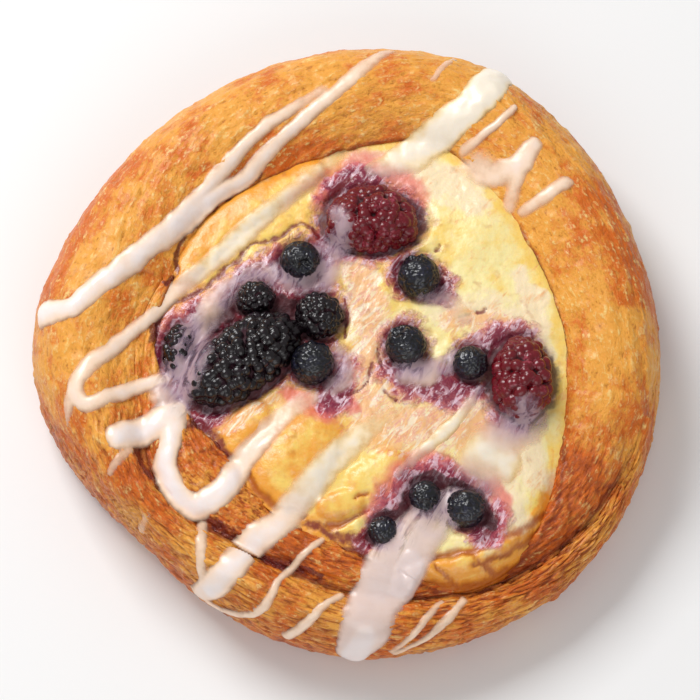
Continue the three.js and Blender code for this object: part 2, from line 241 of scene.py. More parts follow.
def blurred(field_values: Array, radius: float) -> Array:
    """A Gaussian blur of a plane grid.

    Args:
        field_values: the grid, with its first two axes the plane's.
        radius: the Gaussian's standard deviation, in cells.

    Returns:
        The grid of weighted means along one axis and then the other.
    """
    reach = int(math.ceil(radius * BLUR_REACH))
    steps = np.arange(-reach, reach + 1)
    weights = np.exp(-0.5 * (steps / radius) ** 2)
    weights /= weights.sum()
    for axis in (0, 1):
        field_values = sum(w * np.roll(field_values, s, axis=axis) for w, s in zip(weights, steps))
    return field_values


def build_mesh(name: str, points: Array, quads: Array, triangles: Array) -> bpy.types.Object:
    """Makes a smooth-shaded mesh object from whole arrays.

    Args:
        name: the piece's name.
        points: vertices in millimetres, one row each.
        quads: rows of four vertex numbers.
        triangles: rows of three vertex numbers.

    Returns:
        The object, at the origin, with its place in its mesh.
    """
    mesh = bpy.data.meshes.new(name)
    mesh.vertices.add(len(points))
    mesh.vertices.foreach_set("co", (points * MM).astype(np.float32).ravel())
    corners = np.concatenate([quads.ravel(), triangles.ravel()]).astype(np.int32)
    quad_starts = np.arange(len(quads)) * 4
    triangle_starts = len(quads) * 4 + np.arange(len(triangles)) * 3
    mesh.loops.add(len(corners))
    mesh.loops.foreach_set("vertex_index", corners)
    mesh.polygons.add(len(quads) + len(triangles))
    starts = np.concatenate([quad_starts, triangle_starts]).astype(np.int32)
    mesh.polygons.foreach_set("loop_start", starts)
    mesh.update(calc_edges=True)
    mesh.shade_smooth()
    piece = bpy.data.objects.new(name, mesh)
    bpy.context.scene.collection.objects.link(piece)
    return piece


def paint(piece: bpy.types.Object, **layers: Array) -> None:
    """Stores vertex layers that the piece's finish reads.

    Args:
        piece: the piece.
        layers: one number for each vertex under each name.
    """
    for name, values in layers.items():
        attribute = piece.data.attributes.new(name, "FLOAT", "POINT")
        attribute.data.foreach_set("value", np.asarray(values, np.float32).ravel())


@dataclass
class RoundGrid:
    """A closed body on a grid: rows run round it and columns from its lower pole to its upper one."""

    points: Array

    def normals(self) -> Array:
        """Unit normals: the step round the body crossed with the step along it.

        Returns:
            The grid of normals, which point outwards.
        """
        round_step = np.roll(self.points, -1, axis=0) - np.roll(self.points, 1, axis=0)
        along_step = np.gradient(self.points, axis=1)
        normal = np.cross(round_step, along_step)
        return normal / np.maximum(np.linalg.norm(normal, axis=-1, keepdims=True), 1e-9)

    def flat(self, layer: Array) -> Array:
        """A grid layer in vertex order: the lower pole, the rows without poles, the upper pole.

        Args:
            layer: the grid, of numbers or of points.

        Returns:
            One number or point for each vertex.
        """
        tail = layer.shape[2:]
        lower = layer[:1, 0]
        upper = layer[:1, -1]
        return np.concatenate([lower, layer[:, 1:-1].reshape((-1,) + tail), upper])

    def piece(self, name: str, **layers: Array) -> bpy.types.Object:
        """Makes the body as an object, with its poles as single vertices.

        Args:
            name: the piece's name.
            layers: one grid of numbers for each attribute.

        Returns:
            The object.
        """
        rows, columns = self.points.shape[:2]
        inner = columns - 2
        number = 1 + np.arange(rows)[:, None] * inner + np.arange(inner)[None, :]
        following = np.roll(number, -1, axis=0)
        quads = np.stack([number[:, :-1], following[:, :-1], following[:, 1:], number[:, 1:]], axis=-1)
        top = rows * inner + 1
        lower = np.stack([np.zeros(rows, int), following[:, 0], number[:, 0]], axis=-1)
        upper = np.stack([np.full(rows, top), number[:, -1], following[:, -1]], axis=-1)
        caps = np.concatenate([lower, upper])
        made = build_mesh(name, self.flat(self.points), quads.reshape(-1, 4), caps)
        paint(made, **{key: self.flat(layer) for key, layer in layers.items()})
        return made


def quarter(steps: int) -> tuple[Array, Array]:
    """Sines and cosines at even steps of a quarter turn, its end with them and its start not."""
    angle = (np.arange(steps) + 1) / steps * (math.pi / 2)
    return np.sin(angle), np.cos(angle)


def flank(share: Array, low: Array, high: Array, power: float, root: Array) -> Array:
    """Height of a rolled flank: from high at share 0 to low at 1 as (1 - share^power)^(1/root)."""
    return low + (high - low) * (1 - np.clip(share, 0, 1) ** power) ** (1 / root)


@dataclass(frozen=True)
class Line:
    """A smooth line with a width that changes along it."""

    points: tuple[tuple[float, float], ...]
    widths: tuple[float, ...]

    def path(self, step: float = 1.0) -> tuple[Array, Array]:
        """The smooth line through the points: a cubic on their chord lengths.

        Args:
            step: the distance between the points of the line.

        Returns:
            The line's points, and its half width at each.
        """
        points = np.asarray(self.points, float)
        chords = np.concatenate([[0], np.cumsum(np.linalg.norm(np.diff(points, axis=0), axis=1))])
        places = np.linspace(0, chords[-1], max(4, int(chords[-1] / step)))
        line = np.stack(
            [through(tuple(zip(chords, points[:, axis])), places) for axis in (0, 1)], axis=-1
        )
        stops = np.linspace(0, chords[-1], len(self.widths))
        return line, np.interp(places, stops, self.widths) / 2

    def nearest(self, x: Array, y: Array) -> tuple[Array, Array]:
        """How near the line is: the least of distance over half width among its straight pieces.

        Args:
            x: first coordinate.
            y: second coordinate.

        Returns:
            The share, 1 at the line's edge and at most FAR, and how far along it is, from 0 to 1.
        """
        line, half = self.path()
        reach = half.max() * LINE_REACH
        low = line.min(axis=0) - reach
        high = line.max(axis=0) + reach
        inside = (x > low[0]) & (x < high[0]) & (y > low[1]) & (y < high[1])
        px = x[inside]
        py = y[inside]
        best = np.full(px.shape, FAR)
        where = np.zeros(px.shape)
        pieces = zip(line[:-1], line[1:], half[:-1], half[1:])
        for i, (start, end, first, last) in enumerate(pieces):
            dx, dy = end - start
            part = ((px - start[0]) * dx + (py - start[1]) * dy) / (dx * dx + dy * dy)
            part = np.clip(part, 0, 1)
            distance = np.hypot(px - start[0] - part * dx, py - start[1] - part * dy)
            share = distance / (first + (last - first) * part)
            nearer = share < best
            best = np.where(nearer, share, best)
            where = np.where(nearer, (i + part) / (len(line) - 1), where)
        whole = np.full(x.shape, FAR)
        whole[inside] = best
        along = np.zeros(x.shape)
        along[inside] = where
        return whole, along

    def wash(self, x: Array, y: Array) -> Array:
        """A soft stroke of colour: 1 - share^2 inside the line, 0 outside."""
        return np.clip(1 - self.nearest(x, y)[0] ** 2, 0, 1)


@dataclass(frozen=True)
class Marks:
    """Soft strokes of colour or relief on the plan, made ragged by noise that pushes them about."""

    size: float
    push: float
    lines: tuple[Line, ...]

    def at(self, x: Array, y: Array) -> Array:
        """The strongest of the strokes at each place, read where the noise has pushed the place.

        Args:
            x: plan x.
            y: plan y.

        Returns:
            The strength, from 0 to 1.
        """
        place = np.stack([x, y, 0 * x], axis=-1)
        bent_x = x + self.push * Grain(Seed.MARKS_X).octaves(place, self.size, 4)
        bent_y = y + self.push * Grain(Seed.MARKS_Y).octaves(place, self.size, 4)
        return np.max([line.wash(bent_x, bent_y) for line in self.lines], axis=0)


@dataclass
class Berry:
    """Where one berry sits and how large it is."""

    name: str
    middle: tuple[float, float, float]
    half: tuple[float, float, float]
    turn: float = 0.0

    def mean_half(self) -> float:
        """The geometric mean of its half length and half width."""
        return math.sqrt(self.half[0] * self.half[1])

    def nearness(self, x: Array, y: Array) -> Array:
        """Plan distance from the berry's outline: (radius of the scaled ellipse - 1) times the mean half.

        Args:
            x: plan x.
            y: plan y.

        Returns:
            The distance in millimetres, below 0 inside the outline.
        """
        along, across = turned(x - self.middle[0], y - self.middle[1], -self.turn)
        return (np.hypot(along / self.half[0], across / self.half[1]) - 1) * self.mean_half()

    def back(self, x: Array, y: Array) -> Array:
        """Height just under the berry's upper side: middle + half height sqrt(1 - share^2).

        Args:
            x: plan x.
            y: plan y.

        Returns:
            The height over the plan, and 0 outside the outline.
        """
        share = self.nearness(x, y) / self.mean_half() + 1
        rise = BACK_SHARE * np.sqrt(np.clip(1 - share ** 2, 0, 1))
        return np.where(share < 1, self.middle[2] + self.half[2] * rise, 0.0)

    def placed(self, points: Array) -> Array:
        """Points of the berry's own frame, turned about +Z and moved to its place."""
        x, y = turned(points[..., 0], points[..., 1], self.turn)
        return np.stack([x, y, points[..., 2]], axis=-1) + np.array(self.middle)

    def skin(self, grid: RoundGrid, **layers: Array) -> bpy.types.Object:
        """The berry's piece, named beside the solid that it stands for."""
        return grid.piece(self.name + "_skin", **layers)


@dataclass
class SmoothBerry(Berry):
    """A berry of one smooth skin, with the ring of its calyx round a small hollow.

    Angles on the skin are radians from its top; rises and depths are shares of its radius.
    """

    tilt: float = 28.0
    facing: float = 0.0
    back_drop: float = 1.1
    rows: int = 96
    columns: int = 72
    ring_rise: float = 0.07
    ring_angle: float = 0.42
    ring_width: float = 0.12
    hollow_depth: float = 0.16
    hollow_width: float = 0.32
    wrinkle_rise: float = 0.05
    fold_depth: float = 0.085
    fold_width: float = 0.1

    def back(self, x: Array, y: Array) -> Array:
        """Height well under the berry's upper side, so that it stands out of thin icing."""
        return super().back(x, y) - self.back_drop

    def grid(self) -> RoundGrid:
        """The skin: a sphere whose radius dips at the top and rises in a five-lobed ring round the dip.

        The facing also picks the lobes' phase and the part of the noise that the skin takes.

        Returns:
            The grid of the berry, wrinkled by noise and leaning by its tilt.
        """
        turn, polar, direction = sphere(self.rows, self.columns)
        from_top = math.pi - polar
        lobes = 1 + 0.5 * np.cos(5 * turn + self.facing)
        ring = self.ring_rise * lobes * np.exp(-((from_top - self.ring_angle) / self.ring_width) ** 2)
        hollow = -self.hollow_depth * np.exp(-(from_top / self.hollow_width) ** 4)
        own = direction * self.half[0] + self.facing * 10
        folds = np.abs(Grain(Seed.SKIN_FOLDS).octaves(own, 1.35, 2))
        wrinkle = Grain(Seed.SKIN_WRINKLES).octaves(own, 3.0, 2)
        reach = 1 + ring + hollow + self.wrinkle_rise * wrinkle
        reach = reach - self.fold_depth * np.exp(-(folds / self.fold_width) ** 2)
        points = direction * (reach * self.half[0])[..., None]
        y, z = turned(points[..., 1], points[..., 2], self.tilt)
        x, y = turned(points[..., 0], y, self.facing)
        return RoundGrid(self.placed(np.stack([x, y, z], axis=-1)))

    def build(self) -> bpy.types.Object:
        """Makes the berry."""
        grid = self.grid()
        return self.skin(grid, bloom=Grain(Seed.SMOOTH_BLOOM).octaves(grid.points, 3.0, 3))


@dataclass
class BeadedBerry(Berry):
    """A berry of many beads, each a small sphere, joined where they meet."""

    bead: float = 1.15
    taper: float = 0.1
    seed: int = 1
    inset: float = 0.8
    ring_spacing: float = 1.3
    round_spacing: float = 1.38
    core_share: float = 0.78
    sag: float = 0.07

    def beads(self) -> Array:
        """Middles and radii of the beads: rings of them along the berry, each ring half a step on.

        Returns:
            An array with one row of x, y, z and radius for each bead.
        """
        draw = np.random.default_rng(self.seed)
        length, width, height = (size - self.bead * self.inset for size in self.half)
        rings = max(4, int(round(math.pi * (length + width) / 2 / (self.bead * self.ring_spacing))))
        polar = (np.arange(rings) + 0.5) / rings * math.pi
        girth = 2 * math.pi * np.sin(polar) * (width + height) / 2
        counts = np.maximum(1, np.round(girth / (self.bead * self.round_spacing)))
        ring = np.repeat(np.arange(rings), counts.astype(int))
        starts = np.concatenate([[0], np.cumsum(counts)[:-1]])
        place = np.arange(len(ring)) - starts[ring]
        angle = (place + 0.5 * (ring % 2)) / counts[ring] * 2 * math.pi + draw.normal(0, 0.11, len(ring))
        lean = polar[ring] + draw.normal(0, 0.05, len(ring))
        slim = 1 - self.taper * (0.5 - 0.5 * np.cos(lean))
        middle = np.stack(
            [
                np.cos(lean) * length,
                np.sin(lean) * np.cos(angle) * width * slim,
                np.sin(lean) * np.sin(angle) * height * slim,
            ],
            axis=-1,
        )
        sunk = middle * (1 - draw.uniform(0, 0.08, len(ring)))[:, None]
        radius = self.bead * draw.uniform(0.8, 1.15, len(ring))
        return np.concatenate([sunk, radius[:, None]], axis=1)

    def grid(self) -> tuple[RoundGrid, Array]:
        """The skin: in each direction it lies where the ray leaves the bead that reaches furthest.

        A ray of direction d leaves a bead of middle m and radius r at d.m + sqrt((d.m)^2 - m^2 + r^2).

        Returns:
            The grid, and how far each point stands out of the hollows between beads.
        """
        size = max(self.half)
        rows = int(np.clip(size * 22, 110, 260))
        columns = int(np.clip(size * 15, 80, 170))
        direction = np.roll(sphere(rows, columns)[2], 1, axis=-1)
        slim = 1 - self.taper * (0.5 + 0.5 * direction[..., 0])
        scaled = direction / np.array(self.half)
        scaled[..., 1:] /= slim[..., None]
        core = self.core_share / np.linalg.norm(scaled, axis=-1)
        reach = core.copy()
        for x, y, z, radius in self.beads():
            along = direction @ np.array([x, y, z])
            inside = along ** 2 - (x * x + y * y + z * z) + radius ** 2
            leaving = along + np.sqrt(np.maximum(inside, 0))
            reach = np.where(inside > 0, np.maximum(reach, leaving), reach)
        proud = np.clip((reach / core - 1) / 0.3, 0, 1)
        reach = reach * (1 + self.sag * Grain(self.seed + Seed.BEADED_SAG).octaves(direction * 3, 2.2, 2))
        return RoundGrid(self.placed(direction * reach[..., None])), proud

    def build(self) -> bpy.types.Object:
        """Makes the berry."""
        grid, proud = self.grid()
        return self.skin(grid, proud=proud, bloom=Grain(Seed.BEADED_BLOOM).octaves(grid.points, 4.0, 3))


@dataclass
class Coil:
    """The coiled dough: one strand that closes the ring, and its tail outside the first turn."""

    outline: tuple[float, ...] = (
        61.2, 61.5, 64, 66, 64.2, 62.2, 60.5, 61, 62.7, 59.5, 56, 58.5, 61.4, 62.4, 63.3, 62.2,
    )
    well_heights: tuple[float, ...] = (21.5, 22, 22.5, 22.3, 21.8, 21.2, 18.5, 15.5)
    custard_edge: tuple[float, ...] = (
        41.5, 40, 41, 44, 39.5, 36.8, 37, 36.5, 38.3, 36.8, 34.5, 38.5, 43.5, 55.8, 54, 45,
    )
    start: float = -15.0
    seam_start: float = 163.0
    seam_end: float = 345.0
    seam_radii: Knots = (
        (163, 38.2), (180, 41.2), (200, 43.8), (210, 46.2), (220, 48.2), (230, 48.5), (243, 48),
        (255, 49.2), (267, 51.4), (290, 55), (310, 57.6), (330, 59.2), (345, 59.9),
    )
    seam_heights: Knots = (
        (163, 22), (180, 21), (200, 19.5), (225, 18.5), (250, 17), (270, 15.5), (290, 13), (310, 11.5),
        (325, 12.5), (337, 15.5), (345, 18),
    )
    crowns: Knots = (
        (-197, 22.3), (-160, 22.8), (-135, 22.8), (-110, 21.8), (-90, 20.5), (-70, 17.8), (-45, 17),
        (-15, 22.5), (10, 25.8), (35, 27), (100, 27.6), (170, 27), (200, 25.5), (225, 23.5), (250, 21.5),
        (270, 19.5), (290, 16.5), (310, 14.5), (325, 14.5), (337, 16.3), (345, 18.2),
    )
    bulge_height: float = 9.0
    base_inset: float = 4.0
    well_limit: float = 46.0
    well_floor: float = 12.0
    well_wall_run: float = 7.0
    loose_end: float = 2.0
    tucked_end: float = 1.5
    crown_share: float = 0.47
    roll: float = 2.3
    crease_spread: float = 0.75
    single_spread: float = 2.6
    sections: int = 700
    foot_steps: int = 9
    wall_steps: int = 38
    back_steps: int = 27
    first_steps: int = 44
    well_steps: int = 5
    swell_rise: float = 0.85
    shingle_rise: float = 0.42
    crack_depth: float = 0.35
    blister_rise: float = 0.3
    streak_rise: float = 0.36
    pit_depth: float = 0.5
    flake_rise: float = 0.5
    crater_rise: float = 0.16
    covered_depth: float = 1.3
    wound_radius: float = 7.0
    fine_grain: tuple[float, float, float] = (2.7, 2.7, 1.0)
    crack_grain: tuple[float, float, float] = (1.5, 1.5, 0.9)
    shingle_grain: tuple[float, float, float] = (1.7, 1.7, 0.75)

    def winding(self, degrees: Array) -> Array:
        """The angle along the coil's outer strand, from its start to the end of its tail."""
        return np.mod(degrees - self.start, 360.0) + self.start

    def outline_radius(self, degrees: Array) -> Array:
        """Outer radius at the bulge."""
        return around(self.outline, degrees)

    def custard_radius(self, degrees: Array) -> Array:
        """Radius of the custard's edge."""
        return around(self.custard_edge, degrees)

    def well_radius(self, degrees: Array) -> Array:
        """Radius of the well's edge."""
        return np.minimum(self.custard_radius(degrees), self.well_limit)

    def seam_radius(self, degrees: Array) -> Array:
        """Radius of the crease; where there is one strand, the line slides over its back.

        Args:
            degrees: plan angles.

        Returns:
            The radii.
        """
        turn = self.winding(degrees)
        share = np.clip((turn - self.start) / (self.seam_start - self.start), 0, 1)
        outer = self.outline_radius(turn) - self.loose_end
        sliding = outer + (self.well_radius(turn) + self.tucked_end - outer) * share
        return np.where(turn > self.seam_start, through(self.seam_radii, turn), sliding)

    def crown_radius(self, degrees: Array) -> Array:
        """Radius of the crown of the outermost strand.

        Args:
            degrees: plan angles.

        Returns:
            The radii.
        """
        tail = self.winding(degrees) > self.seam_start
        inner = np.where(tail, self.seam_radius(degrees), self.well_radius(degrees))
        return inner + self.crown_share * (self.outline_radius(degrees) - inner)

    def strand(self, r: Array, inner: Array, outer: Array, heights: tuple[Array, Array, Array],
               root: Array) -> Array:
        """Height of one strand's back: a flank falling to each side of its crown.

        Args:
            r: the radii to read it at.
            inner: radius of its inner edge.
            outer: radius of its outer edge.
            heights: of its inner edge, crown and outer edge.
            root: how round the inner flank is, from 1 for a gentle slope to 2 for a roll.

        Returns:
            The heights.
        """
        inner_height, crown, outer_height = heights
        ridge = inner + self.crown_share * (outer - inner)
        inside = flank((ridge - r) / np.maximum(ridge - inner, 0.01), inner_height, crown, 2, root)
        share = (r - ridge) / np.maximum(outer - ridge, 0.01)
        outside = flank(share, outer_height, crown, self.roll, self.roll)
        return np.where(r < ridge, inside, outside)

    def height(self, degrees: Array, r: Array) -> Array:
        """Height of the dough's upper face outside the well: one strand, or two and a crease.

        Args:
            degrees: plan angles.
            r: plan radii.

        Returns:
            The heights.
        """
        turn = self.winding(degrees)
        well = self.well_radius(turn)
        outline = self.outline_radius(turn)
        seam = self.seam_radius(turn)
        edge = around(self.well_heights, turn)
        crease = through(self.seam_heights, turn)
        outer_crown = through(self.crowns, turn)
        inner_crown = through(self.crowns, turn - 360.0)
        roundness = 1 + np.clip((turn - self.seam_start) / 35.0, 0, 1)
        single = self.strand(r, well, outline, (edge, outer_crown, self.bulge_height), 1.0)
        first = self.strand(r, well, seam, (edge, inner_crown, crease), 1.2)
        tail = self.strand(r, seam, outline, (crease, outer_crown, self.bulge_height), roundness)
        return np.where(turn > self.seam_start, np.where(r < seam, first, tail), single)

    def two_strands(self, turn: Array) -> Array:
        """How plainly the tail lies apart from the first turn, from 0 to 1."""
        return smooth_step(188, 212, turn) * (1 - smooth_step(326, self.seam_end, turn))

    def soft_height(self, degrees: Array, r: Array) -> Array:
        """Height with its crease softened: beside it, the mean of heights at radii spread across it.

        Args:
            degrees: plan angles.
            r: plan radii.

        Returns:
            The heights.
        """
        turn = self.winding(degrees)
        spread = self.crease_spread + self.single_spread * (1 - self.two_strands(turn))
        sharp = self.height(degrees, r)
        outline = self.outline_radius(turn)
        steps = np.linspace(-2, 2, 9)
        weights = np.exp(-0.5 * steps ** 2)
        weights /= weights.sum()
        soft = sum(
            weight * self.height(degrees, np.minimum(r + spread * step, np.maximum(outline - 0.3, r)))
            for weight, step in zip(weights, steps)
        )
        gap = np.abs(r - self.seam_radius(turn))
        near = (1 - smooth_step(4, 7, gap)) * smooth_step(0.0, 2.5, outline - r) * (turn > self.seam_start)
        return sharp + (soft - sharp) * near

    def swell(self, points: Array) -> Array:
        """How far the dough swells and sags along its normals: broad noise."""
        return self.swell_rise * Grain(Seed.SWELL).octaves(points, 17.0, 2)

    def sections_grid(self) -> tuple[Array, Array, Array, Array]:
        """The smooth dough before its crust is worked: sections from underside to well floor.

        Returns:
            Plan angles as a column, radii and heights as grids, and the column of the crease.
        """
        degrees = (np.arange(self.sections) / self.sections * 360 + self.start)[:, None]
        outline = self.outline_radius(degrees)
        seam = self.seam_radius(degrees)
        well = self.well_radius(degrees)
        ridge = (seam + outline) / 2
        edge = around(self.well_heights, degrees)
        base = outline - self.base_inset
        under = base * np.array([0, 0.3, 0.6, 0.8, 0.93, 1.0])
        sine, cosine = quarter(self.foot_steps)
        foot = base + self.base_inset * sine
        rise = self.bulge_height * (1 - cosine) + 0 * outline
        sine, cosine = quarter(self.wall_steps)
        wall = ridge + (outline - ridge) * np.minimum(cosine ** 0.87, 1 - 0.002 * sine)
        inward = ridge + (seam - ridge) * (np.arange(1, self.back_steps) / self.back_steps)
        half_turn = np.arange(1, self.first_steps) / self.first_steps * math.pi
        inner = seam + (well - seam) * (1 - np.cos(half_turn)) / 2
        top = np.concatenate([wall, inward, seam, inner], axis=1)
        sine, cosine = quarter(self.well_steps)
        well_wall = well - self.well_wall_run * (1 - cosine)
        well_fall = edge - (edge - self.well_floor) * sine
        radii = np.concatenate([under, foot, top, well, well_wall, 0 * well], axis=1)
        floor = 0 * well + self.well_floor
        backs = self.soft_height(degrees, top)
        heights = np.concatenate([0 * under, rise, backs, edge, well_fall, floor], axis=1)
        crease_column = under.shape[1] + foot.shape[1] + wall.shape[1] + inward.shape[1]
        return degrees, radii, heights, crease_column

    def wound(self, angle: Array, across: Array) -> Array:
        """Points of a noise space that is wound up with the strand.

        Args:
            angle: plan angles in radians, as a column.
            across: distances along each section from the crease.

        Returns:
            The points: on a circle by the plan angle, and at the height of the distance.
        """
        x = self.wound_radius * np.cos(angle) + 0 * across
        y = self.wound_radius * np.sin(angle) + 0 * across
        return np.stack([x, y, across], axis=-1)

    def crust(self, smooth: Array, wound: Array, layered: Array) -> tuple[Array, Array]:
        """How the crust is worked: shingles and cracks along its layers, and marks all over it.

        Args:
            smooth: points of the smooth dough.
            wound: the same points in the space wound up with the strand.
            layered: how plainly the layers show, from 0 to about 1.

        Returns:
            The relief in millimetres, and how deep the cracks are, from 0 to 1.
        """
        fine = wound * np.array(self.fine_grain)
        seams = Grain(Seed.CRACKS).octaves(wound * np.array(self.crack_grain), 1.0, 2)
        cracks = np.exp(-(seams / 0.1) ** 2)
        shingles = Grain(Seed.SHINGLES).octaves(wound * np.array(self.shingle_grain), 1.0, 2)
        blisters = Grain(Seed.BLISTERS).octaves(smooth, 4.4, 3)
        streaks = Grain(Seed.STREAKS).octaves(fine * 0.6, 1.0, 3)
        pits = np.clip(-Grain(Seed.PITS).octaves(smooth, 2.3, 2) - 0.16, 0, 1)
        flakes = np.clip(Grain(Seed.FLAKES).octaves(fine * 0.5, 1.0, 2) - 0.1, 0, 1)
        craters = np.exp(-((Grain(Seed.CRATERS).octaves(smooth, 5.5, 2) - 0.28) / 0.05) ** 2)
        relief = (
            layered * (self.shingle_rise * shingles - self.crack_depth * cracks)
            + self.blister_rise * blisters + self.streak_rise * streaks
            - self.pit_depth * pits * (1 - 0.6 * layered) + self.flake_rise * flakes
            + self.crater_rise * craters * (1 - layered)
        )
        return relief, cracks

    def baked(self, smooth: Array, wound: Array, on_first: Array) -> Array:
        """How brown the crust is: broad and streaky noise, darker towards the foot, and paler on the crown
        as painted light.

        Args:
            smooth: points of the smooth dough.
            wound: the same points in the space wound up with the strand.
            on_first: how plainly the layers of the first turn show.

        Returns:
            The browning, of about 0 to 1.5.
        """
        fine = wound * np.array(self.fine_grain)
        heights = smooth[..., 2]
        bake = 0.45 + 1.1 * Grain(Seed.CRUST_BAKE).octaves(smooth, 14.0, 3)
        bake = bake + 0.4 * Grain(Seed.CRUST_MOTTLE).octaves(fine * 0.4, 1.0, 3)
        # Darker towards the foot. Paler on the crown, which is painted light where the light falls on the
        # top.
        bake = bake + 0.25 * (1 - smooth_step(0.5, 9, heights)) - 0.15 * smooth_step(24, 28, heights)
        return bake + 0.45 * on_first

    def build(self) -> bpy.types.Object:
        """Makes the dough: its sections moved along their normals by the swell and the crust's relief.

        Returns:
            The dough, with its browning (paler on the crown as painted light), juice, layer and relief
            layers.
        """
        degrees, radii, heights, crease_column = self.sections_grid()
        angle = np.radians(degrees)
        smooth = np.stack([radii * np.cos(angle), radii * np.sin(angle), heights], axis=-1)
        normals = RoundGrid(smooth).normals()
        step = np.hypot(np.diff(radii, axis=1, prepend=0), np.diff(heights, axis=1, prepend=0))
        run = np.cumsum(step, axis=1)
        across = run - run[:, crease_column:crease_column + 1]
        wound = self.wound(angle, across)
        seam = self.seam_radius(degrees)
        two = self.two_strands(self.winding(degrees))
        on_first = two * (across > 0) * (radii < seam)
        on_tail = two * (radii > seam)
        low = 1 - smooth_step(11, 19, heights)
        layered = 0.1 + 0.9 * on_first + 0.65 * on_tail + 0.4 * low * two + 0.7 * low
        layered = np.clip(layered, 0, 1.1)
        relief, cracks = self.crust(smooth, wound, layered)
        past_well = radii - self.well_radius(degrees)
        past_custard = radii - self.custard_radius(degrees)
        outside = smooth_step(0.5, 3.5, heights) * (radii > self.well_radius(degrees) - 0.5)
        covered = 1 - smooth_step(-2.6, -0.6, past_custard)
        covered = covered * smooth_step(0.5, 3.0, past_well) * (heights > 12)
        moved = (self.swell(smooth) + relief) * outside * (1 - covered) - self.covered_depth * covered
        points = smooth + normals * moved[..., None]
        points[..., 2] = np.maximum(points[..., 2], 0.0)
        crease_shade = 0.9 * two * np.exp(-(np.abs(radii - seam) / 0.7) ** 2)
        rim_shade = 0.75 * np.exp(-(past_custard / 0.6) ** 2)
        piece = RoundGrid(points).piece(
            "dough_coil",
            bake=self.baked(smooth, wound, layered * on_first),
            juice=JUICE_LINES.at(points[..., 0], points[..., 1]),
            layered=layered,
            relief=relief,
            shade=np.maximum(crease_shade, rim_shade),
            cracks=cracks * layered,
        )
        attribute = piece.data.attributes.new("coil", "FLOAT_VECTOR", "POINT")
        flat = RoundGrid(points).flat(wound)
        attribute.data.foreach_set("vector", flat.astype(np.float32).ravel())
        return piece


